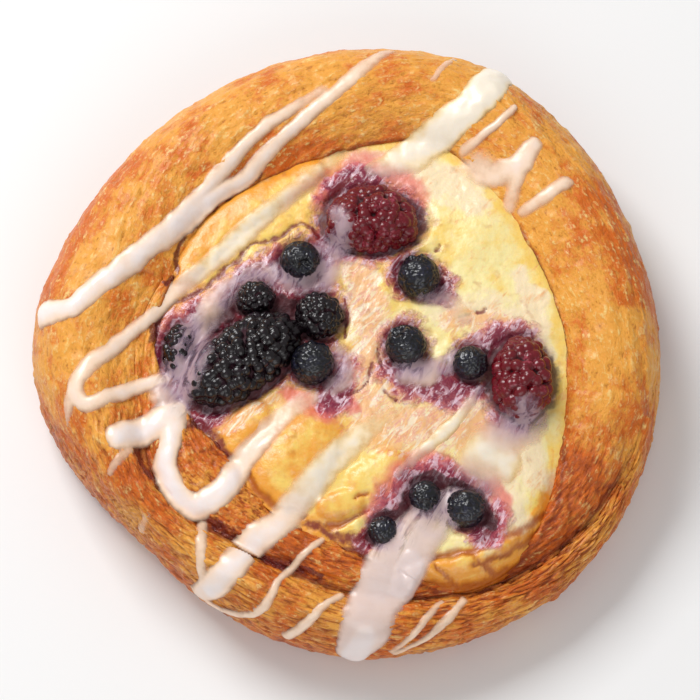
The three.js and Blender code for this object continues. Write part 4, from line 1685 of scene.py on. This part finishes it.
@dataclass(frozen=True)
class BeadedFinish:
    """The skin of a beaded berry: dark beads with a moist shine and pale mottles of painted highlight,
    redder in the bramble's hollows and darker, as painted shade, in the raspberry's.
    """

    name: str
    bead: Colour
    hollow: Colour
    bloom: Colour

    def material(self) -> bpy.types.Material:
        """Makes the skin from its proud layer and a layer of pale mottles, which are painted highlight.

        Returns:
            The material.
        """
        r = Recipe(self.name)
        proud = r.layer("proud")
        moist = proud.rise(0.05, 0.45)
        # The hollows between beads take their own colour: darker on the raspberry, which is painted shade,
        # and wine red on the bramble, which is its own colour.
        colour = r.tint(proud.rise(0.0, 0.5), self.hollow, self.bead)
        # Pale mottles over the beads: painted highlight, streaks of shine.
        pale = r.frayed("bloom", r.noise(0.7, 4.0, 0.6), 2.6).rise(0.15, 0.8)
        colour = r.tint(pale * 0.6, colour, self.bloom)
        grain = r.bump(r.noise(0.5, 3.0, 0.6), 0.1, 0.7)
        return r.finish(
            Base_Color=colour, Roughness=0.6 - moist * 0.34, Normal=grain, Coat_Weight=moist * 0.3,
            Coat_Roughness=0.12, Subsurface_Weight=0.06, Subsurface_Radius=(1.0, 0.2, 0.2),
            Subsurface_Scale=0.6 * MM, Specular_IOR_Level=0.4,
        )


# Bead, hollow and mottle colours. The pale mottles are painted highlight, the raspberry's darker hollows are
# painted shade, and the bramble's redder hollows are its own colour.
RASPBERRY_FINISH = BeadedFinish("raspberry", (0.42, 0.03, 0.09), (0.22, 0.01, 0.05), (0.72, 0.30, 0.38))
BRAMBLE_FINISH = BeadedFinish("bramble", (0.055, 0.015, 0.035), (0.20, 0.02, 0.09), (0.20, 0.11, 0.17))


@dataclass(frozen=True)
class BlueberryFinish:
    """The skin of a baked blueberry: blue-black, with a grey bloom left in patches and a net of painted
    highlight.
    """

    skin: Colour = (0.02, 0.02, 0.045)
    bloom: Colour = (0.18, 0.18, 0.30)

    def material(self) -> bpy.types.Material:
        """Makes the skin: grey bloom patches from its layer, and a noise net of painted highlight.

        Returns:
            The material.
        """
        r = Recipe("blueberry")
        pale = r.frayed("bloom", r.noise(0.9, 4.0), 1.3).rise(0.1, 0.8)
        # Painted highlight: a net of grey-blue lines, standing for shine on a wrinkled skin.
        painted_highlight_net = r.noise(1.6, 4.0, 0.6, 1.0).ridge(0.5, 26.0)
        colour = r.tint((pale * 0.45 + painted_highlight_net * 0.4).clamped(), self.skin, self.bloom)
        grain = r.bump(r.noise(0.8, 4.0, 0.6), 0.12, 0.7)
        return r.finish(
            Base_Color=colour, Roughness=0.32, Normal=grain, Coat_Weight=0.35, Coat_Roughness=0.15,
        )


@dataclass
class Studio:
    """A plain pale floor, soft light, and the camera at the photograph's angle."""

    elevation: float = 68.0
    distance: float = 800.0
    target: tuple[float, float, float] = (0.0, 0.0, 13.0)
    pixels_per_mm: float = 5.06
    image_width: int = 700
    sensor: float = 36.0
    clip: tuple[float, float] = (0.05, 20.0)
    floor_half: float = 3000.0
    floor_colour: Colour = (0.95, 0.95, 0.95)
    sky_strength: float = 0.38

    def floor(self) -> None:
        """Lays the floor, one square on z = 0."""
        size = self.floor_half
        corners = np.array([[-size, -size, 0], [size, -size, 0], [size, size, 0], [-size, size, 0]], float)
        floor = build_mesh("floor", corners, np.array([[0, 1, 2, 3]]), np.zeros((0, 3), int))
        r = Recipe("floor")
        floor.data.materials.append(r.finish(Base_Color=linear(self.floor_colour), Roughness=0.6))

    def lamp(self, name: str, place: tuple[float, float, float], size: float, power: float) -> None:
        """Hangs one square area light that faces the pastry.

        Args:
            name: the light's name.
            place: its middle, in millimetres.
            size: its side, in millimetres.
            power: its power in watts.
        """
        light = bpy.data.lights.new(name, "AREA")
        light.size = size * MM
        light.energy = power
        lamp = bpy.data.objects.new(name, light)
        lamp.location = Vector(place) * MM
        lamp.rotation_euler = (Vector(self.target) - Vector(place)).to_track_quat("-Z", "Y").to_euler()
        bpy.context.scene.collection.objects.link(lamp)

    def camera(self) -> None:
        """Sets the camera: it looks along +Y and down, with the photograph's scale at the pastry."""
        tilt = math.radians(self.elevation)
        direction = Vector((0.0, -math.cos(tilt), math.sin(tilt)))
        data = bpy.data.cameras.new("camera")
        data.sensor_width = self.sensor
        data.lens = self.pixels_per_mm * self.distance / self.image_width * self.sensor
        data.clip_start, data.clip_end = self.clip
        camera = bpy.data.objects.new("camera", data)
        camera.location = (Vector(self.target) + direction * self.distance) * MM
        camera.rotation_euler = (-direction).to_track_quat("-Z", "Y").to_euler()
        bpy.context.scene.collection.objects.link(camera)
        bpy.context.scene.camera = camera

    def build(self) -> None:
        """Sets the whole studio."""
        self.floor()
        self.camera()
        self.lamp("key", (-350, 420, 620), 380, 5.2)
        self.lamp("fill", (60, -560, 420), 500, 1.3)
        world = bpy.data.worlds.new("studio")
        world.use_nodes = True
        sky = world.node_tree.nodes["Background"]
        sky.inputs["Color"].default_value = (1.0, 1.0, 1.0, 1.0)
        sky.inputs["Strength"].default_value = self.sky_strength
        scene = bpy.context.scene
        scene.world = world
        scene.view_settings.view_transform = "Standard"
        scene.view_settings.look = "None"


# Name, middle x, y and z, radius, tilt and facing.
SMOOTH_BERRIES = (
    ("blueberry_upper_left", -9.8, 14.6, 23.8, 4.0, 40, 20),
    ("blueberry_upper_right", 13.5, 11.2, 23.8, 4.2, 75, 190),
    ("blueberry_middle", -7.3, -7.1, 23.8, 4.2, 62, 160),
    ("blueberry_centre", 10.9, -3.4, 23.8, 4.0, 35, 220),
    ("blueberry_right", 23.4, -6.8, 23.2, 3.4, 80, 90),
    ("blueberry_lower_left", 6.4, -40.2, 19.6, 2.9, 75, 250),
    ("blueberry_lower_middle", 14.4, -33.6, 21.0, 3.1, 50, 0),
    ("blueberry_lower_right", 22.2, -36.0, 20.6, 3.8, 85, 130),
)

RASPBERRIES = (
    BeadedBerry("raspberry_top", (4.4, 23.6, 23.2), (7.2, 10.4, 6.2), -90, 1.3, 0.24, 3),
    BeadedBerry("raspberry_right", (33.4, -9.4, 22.2), (8.4, 6.9, 6.0), -90, 1.3, 0.2, 4),
)

BRAMBLES = (
    BeadedBerry("bramble_long", (-20.8, -6.0, 23.0), (13.0, 7.5, 6.4), 40, 1.18, 0.1, 5),
    BeadedBerry("bramble_round", (-6.0, 3.0, 23.4), (4.8, 4.7, 4.4), 0, 0.95, 0.0, 6),
    BeadedBerry("bramble_small", (-18.6, 6.8, 22.8), (3.9, 3.7, 3.6), 0, 0.85, 0.0, 7),
    BeadedBerry("bramble_left", (-33.6, -3.4, 21.6), (5.3, 3.0, 3.6), 84, 0.9, 0.0, 8),
)

# The custard's marks on the plan, first where the berries' juice has coloured it.
STAINS = Marks(6.5, 3.2, (
    Line(((-36.5, -3.5), (-27.2, 0.7), (-18.5, 4), (-6.9, 5)), (13, 20, 22, 16)),
    Line(((-30, -13), (-20.6, -8), (-8, -1.5)), (13, 15, 14)),
    Line(((-18.5, 12), (-9.3, 15.3), (-3, 18.5)), (11, 13, 12)),
    Line(((-1.5, 26.1), (4.8, 26.7), (10.1, 24.1), (6, 18)), (13, 15, 14, 10)),
    Line(((-3, 31), (1, 33), (5, 32)), (7, 8, 7)),
    Line(((12.8, 12), (18.2, 9)), (13, 9)),
    Line(((-7.4, -6.3), (-2.8, -9.4), (-3.4, -15)), (14, 12, 8)),
    Line(((10.5, -2.5), (11.1, -9.4), (16.3, -11.3), (23, -11.5)), (13, 12, 11, 11)),
    Line(((23.9, -5.5), (31.5, -1.7), (32.4, -7.9), (31.8, -16)), (11, 11, 17, 13)),
    Line(((3.6, -42.4), (11, -34.5), (16.7, -31), (23.6, -35.2), (25.6, -38.5)), (7, 11, 12, 13, 12)),
    Line(((-30.4, -18.4), (-25.3, -15.2), (-19, -11.2)), (8, 8, 8)),
))
# Where that juice has run into dark lines.
JUICE_LINES = Marks(4.0, 1.4, (
    Line(((-31.4, -19.3), (-27, -20.2), (-24.1, -24.5), (-20.4, -28.4)), (3.0, 2.6, 2.0, 1.2)),
    Line(((-8.5, -38.5), (-3.9, -41.0), (-0.5, -41.6), (4.1, -41.3)), (2.6, 3.4, 3.8, 4.2)),
    Line(((-36.5, -14), (-39, -20), (-41.4, -24.5), (-38.8, -29.4), (-35.5, -33.5)),
         (2.2, 2.8, 3.2, 2.6, 2.2)),
    Line(((-31.8, -36.6), (-28.4, -37.2), (-25.6, -39.4), (-22.5, -41.6), (-19, -43.6)),
         (1.8, 2.6, 3.0, 2.8, 2.2)),
    Line(((-19, -43.9), (-14.9, -46.6), (-10.5, -47.8), (-5, -49.2)), (2.2, 2.8, 2.4, 1.4)),
    Line(((-1.5, -43.4), (3.5, -45.2), (6.5, -46.8)), (2.0, 3.0, 2.0)),
    Line(((-17.5, 33.6), (-22.4, 30.1), (-26.3, 26.6), (-29.8, 23.9), (-32.3, 20.6), (-33.9, 17),
          (-34.4, 13), (-35.9, 10)), (1.2, 1.8, 1.6, 1.6, 1.8, 1.6, 1.6, 1.4)),
    Line(((-38.8, -1.7), (-37.8, 3.3), (-34.3, 6.5), (-30.3, 8.2), (-25.6, 12.6), (-21.6, 15.2),
          (-19.8, 18.3), (-14.6, 19.8), (-11.1, 22.2), (-7.5, 21.9), (-6.4, 19.9)),
         (1.8, 2.0, 1.8, 2.0, 1.8, 1.8, 1.4, 1.6, 1.6, 1.4)),
    Line(((6.0, -2.5), (5.7, -5.0), (6.0, -7.8)), (1.0, 1.3, 1.0)),
    Line(((6.8, -12.5), (8.8, -14.6)), (1.0, 1.2)),
    Line(((17.5, 15), (19.5, 9), (17, 6)), (0.9, 1.3, 0.9)),
    Line(((18.4, 5.2), (19.8, 4.9)), (1.0, 0.9)),
    Line(((21.4, 3.2), (23.3, 3.6)), (1.2, 1.3)),
    Line(((25.1, 4.2), (26.7, 4.7)), (1.4, 1.3)),
    Line(((16.9, 17.2), (17.6, 18)), (1.1, 1.0)),
    Line(((-2.5, -14), (2, -11.5), (4.5, -7)), (0.8, 1.1, 0.8)),
    Line(((-1, -1.5), (-0.5, 3), (-1.2, 6.5)), (1.0, 1.4, 1.0)),
    # The dark pulp between the berries.
    Line(((-32, -3), (-25, 3.5), (-18, 6.5), (-11, 5)), (5, 7, 8, 6)),
    Line(((-14, -3), (-9, -2.5)), (6, 5)),
    Line(((28, -4), (29, -13)), (3, 3)),
    Line(((3.5, -42.5), (9, -37.5), (15, -33.5), (22.5, -33.5), (27, -37), (26.5, -41)),
         (3.5, 5, 6.5, 7, 5.5, 3)),
    Line(((0, 33), (-3, 30.5), (-5, 27)), (2, 3, 2)),
))
# Where the custard has risen in soft cushions.
PUFFS = Marks(5.0, 1.2, (
    Line(((-13, -30), (-7.6, -22.4)), (17, 15)),
    Line(((-24.1, -22.8), (-18.5, -17.5)), (8, 8)),
    Line(((-4.5, -36), (1, -34.5)), (6, 6)),
    Line(((3.5, -30.8), (8, -28)), (10, 9)),
    Line(((-33, 14), (-24.6, 23.4), (-14.6, 29.9), (-7, 34.4)), (9, 10, 9, 6)),
    Line(((12.5, -49), (19, -48.8), (26, -46.8), (33, -42.5), (38, -37.5)), (6, 8, 8.5, 8, 7)),
))
# Where it has creased and browned.
FOLDS = Marks(5.0, 1.2, (
    Line(((-19.6, -29.2), (-17.9, -32.9), (-14.4, -35.6), (-9, -37.9)), (1.6, 2.0, 2.0, 1.4)),
    Line(((-4.2, -39.4), (-0.5, -38.4), (3.6, -36.6)), (1.6, 1.8, 1.4)),
    Line(((1.2, -34.5), (3.6, -33.4)), (1.2, 1.0)),
    Line(((12.9, -47.2), (17.7, -44.9), (23.4, -44.6), (29.8, -41.5), (34, -39), (39.5, -34.5)),
         (2.2, 2.2, 2.0, 2.4, 2.2, 1.6)),
    Line(((13.6, -49.6), (19.5, -50.6), (25.5, -49.4), (31, -46.4)), (1.2, 1.6, 1.8, 1.2)),
    Line(((23.5, -47.2), (30, -44.4), (36.5, -39)), (1.0, 1.5, 1.2)),
    Line(((16.5, -47.2), (18.8, -49.2), (22, -51.6)), (1.0, 1.8, 1.2)),
    Line(((24, -45.6), (27, -47.6), (29.5, -49.6)), (1.0, 1.8, 1.2)),
    Line(((9.6, -48.4), (15, -51), (21.2, -51.6), (28.3, -48.9), (34, -44.2)), (1.8, 2.8, 2.8, 2.6, 1.6)),
))
# Where the juice has only tinged it.
BLUSH = Marks(6.0, 2.5, (
    Line(((-5, 28), (-3, 33), (3, 35.5), (10, 33), (13, 28)), (8, 9, 10, 9, 7)),
    Line(((4, -37), (9, -31), (15, -27.5), (20, -28.5)), (6, 8, 9, 6)),
    Line(((-12, -13), (-5, -17), (0, -15)), (5, 7, 5)),
    Line(((28, -42), (29.5, -36), (27.5, -31)), (5, 6, 5)),
))
# Where pulp lies dark between the berries.
PULP = Marks(3.5, 2.4, (
    Line(((13.5, -30.5), (18.5, -31), (24, -34.5), (27, -38.5)), (4, 6.5, 7, 4.5)),
    Line(((4.6, -41.5), (7.5, -38), (11, -34.5)), (3.5, 4, 3.5)),
    Line(((-34, -6.5), (-30, 0), (-24, 5), (-18, 8.5)), (4, 5, 5, 4)),
    Line(((-14, 5.5), (-10, 4.5)), (5, 5)),
    Line(((-25, -13.5), (-19, -12), (-11, -7)), (3, 3.5, 3)),
    Line(((26, -5), (28.5, -10), (30, -15)), (2.5, 3, 2.5)),
))
# Where cream cheese shows pale in it.
CREAM = Marks(7.0, 4.0, (
    Line(((1.5, 14.3), (3.6, 3.1), (3.2, -5.7), (3.6, -16.6)), (9, 9, 7, 9)),
    Line(((18, 5), (31, 3.1)), (9, 11)),
    Line(((8, -18.5), (17, -20.5), (25, -17.6), (31.5, -21.6), (35, -28)), (9, 10, 14, 16, 12)),
    Line(((27, -29), (31, -36), (27, -41)), (9, 8, 6)),
    Line(((2, 36), (10, 35), (18, 33), (25, 27)), (8, 11, 12, 7)),
    Line(((33, 12), (36, 6), (37, -2)), (5, 7, 6)),
))
# Where cream and custard have run together, peach-coloured and streaky.
PEACH = Marks(7.0, 4.0, (
    Line(((2, 14), (3.6, 4), (3.2, -8), (5, -17)), (9, 10, 9, 12)),
    Line(((2, -20), (9, -20.5), (18, -20), (26, -19.5)), (9, 13, 14, 9)),
    Line(((-9, -13.5), (-16, -15.5), (-24, -19)), (6, 7, 6)),
    Line(((20, 2.0), (30, 2.5)), (6, 7)),
))
# Where a crease of the dough has parted the icing.
GROOVE = Line(((-23.4, -43.2), (-17.2, -46.6)), (1.1, 1.1))

STROKES = (
    # The broad stripe at the upper left, and the second one that splits from it.
    Stroke(((-61.8, 4.0), (-54.9, 3.4), (-50.7, 6.5), (-42.6, 13.7), (-34.4, 21.4), (-28.7, 26.9),
            (-21.1, 32.3), (-15.3, 38.2), (-9.2, 44), (-2.6, 49.8), (3.1, 55.4), (7.9, 60.6)),
           (6.2, 4.6, 4.8, 5.2, 5.2, 4.0, 3.4, 3.2, 3.2, 3.4, 3.4, 3.4),
           (1.5, 1.3, 1.3, 1.3, 1.1, 1.0, 0.8, 0.5)),
    Stroke(((-36, 21), (-30.6, 27.2), (-26.6, 31.8), (-23, 36), (-16.5, 42.6), (-10.4, 46.9), (-5.5, 49.9)),
           (3.0, 3.2, 3.2, 3.2, 3.0, 2.6), (1.2, 1.1, 1.0, 0.8, 0.4)),
    # The thinner stripe below it, with its turn at the left.
    Stroke(((-1.9, 38.6), (-9.5, 31.1), (-17.8, 23.5), (-26.1, 15.6), (-33.4, 9.5)),
           (3.4, 4.4, 4.6, 4.6, 3.6), (0.1, 0.35, 0.45, 0.45, 0.4), Pour.GLAZE, 0.85),
    Stroke(((-29.5, 12.7), (-34.4, 8.6), (-40, 2.2), (-46.4, -4.5), (-51.2, -9.2), (-53.3, -12.9),
            (-51.1, -16.4), (-46.2, -14.6), (-40.7, -11.6), (-35.8, -10)),
           (3.0, 3.6, 3.2, 3.0, 3.4, 4.0, 4.0, 3.4, 3.2, 3.6), (0.5, 0.8, 1.0, 0.9, 0.8, 0.9, 1.0, 1.1)),
    Stroke(((-53.3, -12.9), (-56.8, -19.3)), (4.0, 2.4), (0.7, 0.4)),
    # The blob and the loop at the lower left.
    Stroke(((-44.6, -22.9), (-39.7, -20.4), (-34, -16.8)), (6.0, 6.2, 6.2), (1.6, 1.4, 1.1)),
    Stroke(((-34, -16.6), (-34.6, -22.5), (-35.6, -27.9), (-33.7, -33), (-29.6, -35.7), (-24.7, -33.2),
            (-20.7, -26.8), (-15.8, -21.2), (-10.1, -15.4), (-7.7, -14.1)),
           (6.0, 4.8, 5.0, 5.6, 6.2, 6.0, 5.8, 5.6, 5.0, 4.2), (1.2, 1.4, 1.6, 1.5, 1.0, 0.65, 0.4)),
    Stroke(((-42.7, -25.2), (-46.2, -29.4)), (2.6, 2.0), (0.5, 0.4)),
    Stroke(((-44.6, -42.4), (-39.6, -38.4)), (2.2, 2.0), (0.4, 0.3)),
    # The veil over the dark berries.
    Stroke(((-34.5, -12.4), (-30.8, -5.8), (-30.5, -0.5), (-26.8, 5.6), (-21.1, 11), (-14.4, 11.8),
            (-8.6, 10.4), (-5.3, 14.5), (-1.9, 20), (-2.8, 23.6)),
           (10, 9.0, 8.5, 6.5, 6.0, 6.5, 7.0, 7.0, 7.5, 4.0),
           (0.8, 0.6, 0.5, 0.4, 0.4, 0.4, 0.45, 0.5, 0.5, 0.35), Pour.GLAZE, 0.76),
    # Glaze beside the small berries in the middle.
    Stroke(((-7, 16.5), (-3.5, 13), (-5.5, 9.5)), (5.0, 6.5, 5.0), (0.5, 0.5, 0.4), Pour.GLAZE, 0.7),
    Stroke(((10.5, -8.8), (15.5, -8.6), (20, -5.4)), (5.0, 6.5, 4.0), (0.55, 0.6, 0.4), Pour.GLAZE, 0.8),
    Stroke(((-2.2, -4.4), (-0.8, -9), (-3.5, -12)), (4.0, 5.0, 4.0), (0.4, 0.5, 0.4), Pour.GLAZE, 0.7),
    Stroke(((14.5, 7.5), (19.5, 6.5), (22, 3)), (4.0, 5.0, 5.0), (0.35, 0.4, 0.3), Pour.GLAZE, 0.6),
    # The stripe over the lower left crease, and the thin lines beside it.
    Stroke(((7.5, -17.1), (1.4, -22.3), (-4.3, -28), (-9.2, -33.8), (-13, -38.4)),
           (4.2, 5.6, 6.6, 7.0, 5.4), (0.1, 0.35, 0.5, 0.5, 0.4), Pour.GLAZE, 0.85),
    Stroke(((-7.6, -31.9), (-9.2, -33.8), (-14.1, -39.8), (-19.7, -43.9), (-22.9, -48.1), (-27.2, -52.6),
            (-33.2, -57.6)), (5.0, 6.2, 6.6, 6.6, 6.2, 6.8, 6.0), (0.4, 0.9, 1.4, 1.3, 1.4, 1.0)),
    Stroke(((-28.3, -39.6), (-28.6, -46.1), (-29.8, -54)), (2.2, 2.6, 3.0), (0.6, 0.7, 0.7)),
    Stroke(((-32, -60), (-28.9, -61.7), (-22.5, -60.2), (-16.6, -56), (-13.4, -50.1), (-9.2, -45.8),
            (-5.5, -42.3)), (2.6, 2.8, 2.6, 2.2, 1.8, 1.8, 1.6), (0.8, 0.8, 0.8, 0.7, 0.6)),
    # The pool that runs down the front, and the lines beside it.
    Stroke(((20.2, -35), (15.2, -39.2), (10.5, -44.3), (7, -50), (4.4, -55.4), (2.6, -61), (0.8, -67.8)),
           (7.0, 9.5, 11.5, 11.5, 11.0, 10.5, 8.4), (0.7, 0.9, 1.2, 1.4, 1.2, 1.3, 1.6), Pour.POOL, 0.92),
    Stroke(((11.6, -46.4), (9.6, -51.4)), (6.0, 6.0), (2.0, 2.0), Pour.POOL, 0.92),
    Stroke(((3, -61.5), (1.0, -67.6)), (7.0, 7.4), (1.6, 2.4), Pour.POOL, 0.95),
    Stroke(((-13.3, -65.4), (-7.6, -58.2), (-2, -53)), (3.2, 2.4, 1.8), (0.9, 0.8, 0.6)),
    Stroke(((21.7, -53.2), (15.7, -60.6), (9.7, -67.3)), (1.8, 2.2, 2.4), (0.6, 0.8, 0.6)),
    Stroke(((17.6, -53.6), (12.6, -59.6), (8.7, -66.4)), (1.4, 1.8, 2.0), (0.5, 0.7, 0.5)),
    Stroke(((23.5, -34), (19.5, -35.5), (15.5, -38.5)), (4.5, 6.0, 7.0), (0.3, 0.4, 0.5), Pour.GLAZE, 0.45),
    # Thin icing over the custard at the lower right.
    Stroke(((25.3, -12), (19.4, -19.9), (13.7, -25.2), (8.7, -30.3)), (2.2, 3.0, 3.0, 2.0), (0.5, 0.45, 0.3),
           Pour.GLAZE, 0.7),
    Stroke(((34.3, -18.4), (27.7, -22.9), (23.0, -27.6)), (9.0, 10.0, 7.0), (0.6, 0.6, 0.4),
           Pour.GLAZE, 0.7),
    Stroke(((30, -26), (26.6, -30.6)), (7.0, 6.5), (0.55, 0.4), Pour.GLAZE, 0.7),
    # The stripes that come over the crown at the upper right.
    Stroke(((30.8, 57), (25, 47.4), (20, 43.6), (15.8, 40.6), (9.8, 37.2)), (6.6, 8.4, 7.0, 7.0, 6.0),
           (0.9, 1.0, 0.8, 0.7, 0.5), Pour.GLAZE, 0.9),
    Stroke(((15.8, 40.6), (11, 36.5), (5, 34.5)), (7.0, 8.0, 5.0), (0.6, 0.5, 0.3), Pour.GLAZE, 0.8),
    Stroke(((32.6, 46.3), (28.3, 42), (22.5, 38.6)), (1.8, 2.0, 2.4), (0.8, 0.8, 0.6)),
    Stroke(((36.6, 38.2), (33.2, 34), (28.3, 32.9), (25, 35.2)), (4.0, 5.0, 6.0, 7.0), (0.9, 0.9, 0.8, 0.6)),
    Stroke(((33.2, 34), (32.4, 29.4), (31.6, 26.5)), (4.2, 3.6, 3.0), (0.8, 0.7, 0.5)),
    Stroke(((42.8, 30.1), (38.2, 27.1), (34.1, 25.1)), (3.2, 3.2, 2.6), (0.8, 0.8, 0.6)),
    Stroke(((21.4, 59.6), (16.6, 52.5)), (2.0, 1.6), (0.6, 0.4)),
)


@dataclass
class Danish:
    """The whole pastry: its parts in the order that they are made."""

    coil: Coil = field(default_factory=Coil)

    @staticmethod
    def dress(
        piece: bpy.types.Object, material: bpy.types.Material, slot: Slot, node: str | None = None,
    ) -> None:
        """Gives a piece its finish and its body, and hides the solid that it stands for.

        Args:
            piece: the piece.
            material: its finish.
            slot: the record's slot of that finish; not used.
            node: the solid that it replaces, if any.
        """
        piece.data.materials.append(material)
        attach(piece, BODY)
        if node:
            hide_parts(node)
        log.info("%s: %d faces", piece.name, len(piece.data.polygons))

    def build(self) -> None:
        """Makes every piece of the pastry."""
        smooth = [
            SmoothBerry(name, (x, y, z), (radius, radius, radius), 0.0, tilt, facing)
            for name, x, y, z, radius, tilt, facing in SMOOTH_BERRIES
        ]
        custard = Custard(self.coil, [*smooth, *RASPBERRIES, *BRAMBLES])
        self.dress(self.coil.build(), CrustFinish().material(), Slot.CRUST, "pastry")
        self.dress(custard.build(), CustardFinish().material(), Slot.CUSTARD, "custard")
        groups = (
            (smooth, BlueberryFinish(), Slot.BLUEBERRY),
            (RASPBERRIES, RASPBERRY_FINISH, Slot.RASPBERRY),
            (BRAMBLES, BRAMBLE_FINISH, Slot.BRAMBLE),
        )
        for berries, finish, slot in groups:
            material = finish.material()
            for berry in berries:
                self.dress(berry.build(), material, slot, berry.name)
        self.dress(Icing(self.coil, custard, STROKES).build(), IcingFinish().material(), Slot.ICING)


def main() -> None:
    """Loads the frame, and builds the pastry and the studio."""
    logging.basicConfig(level=logging.INFO, format="%(name)s: %(message)s")
    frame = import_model()
    log.info("frame: %d nodes", len(frame["nodes"]))
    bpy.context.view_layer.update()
    Danish().build()
    Studio().build()


if __name__ == "__main__":
    main()
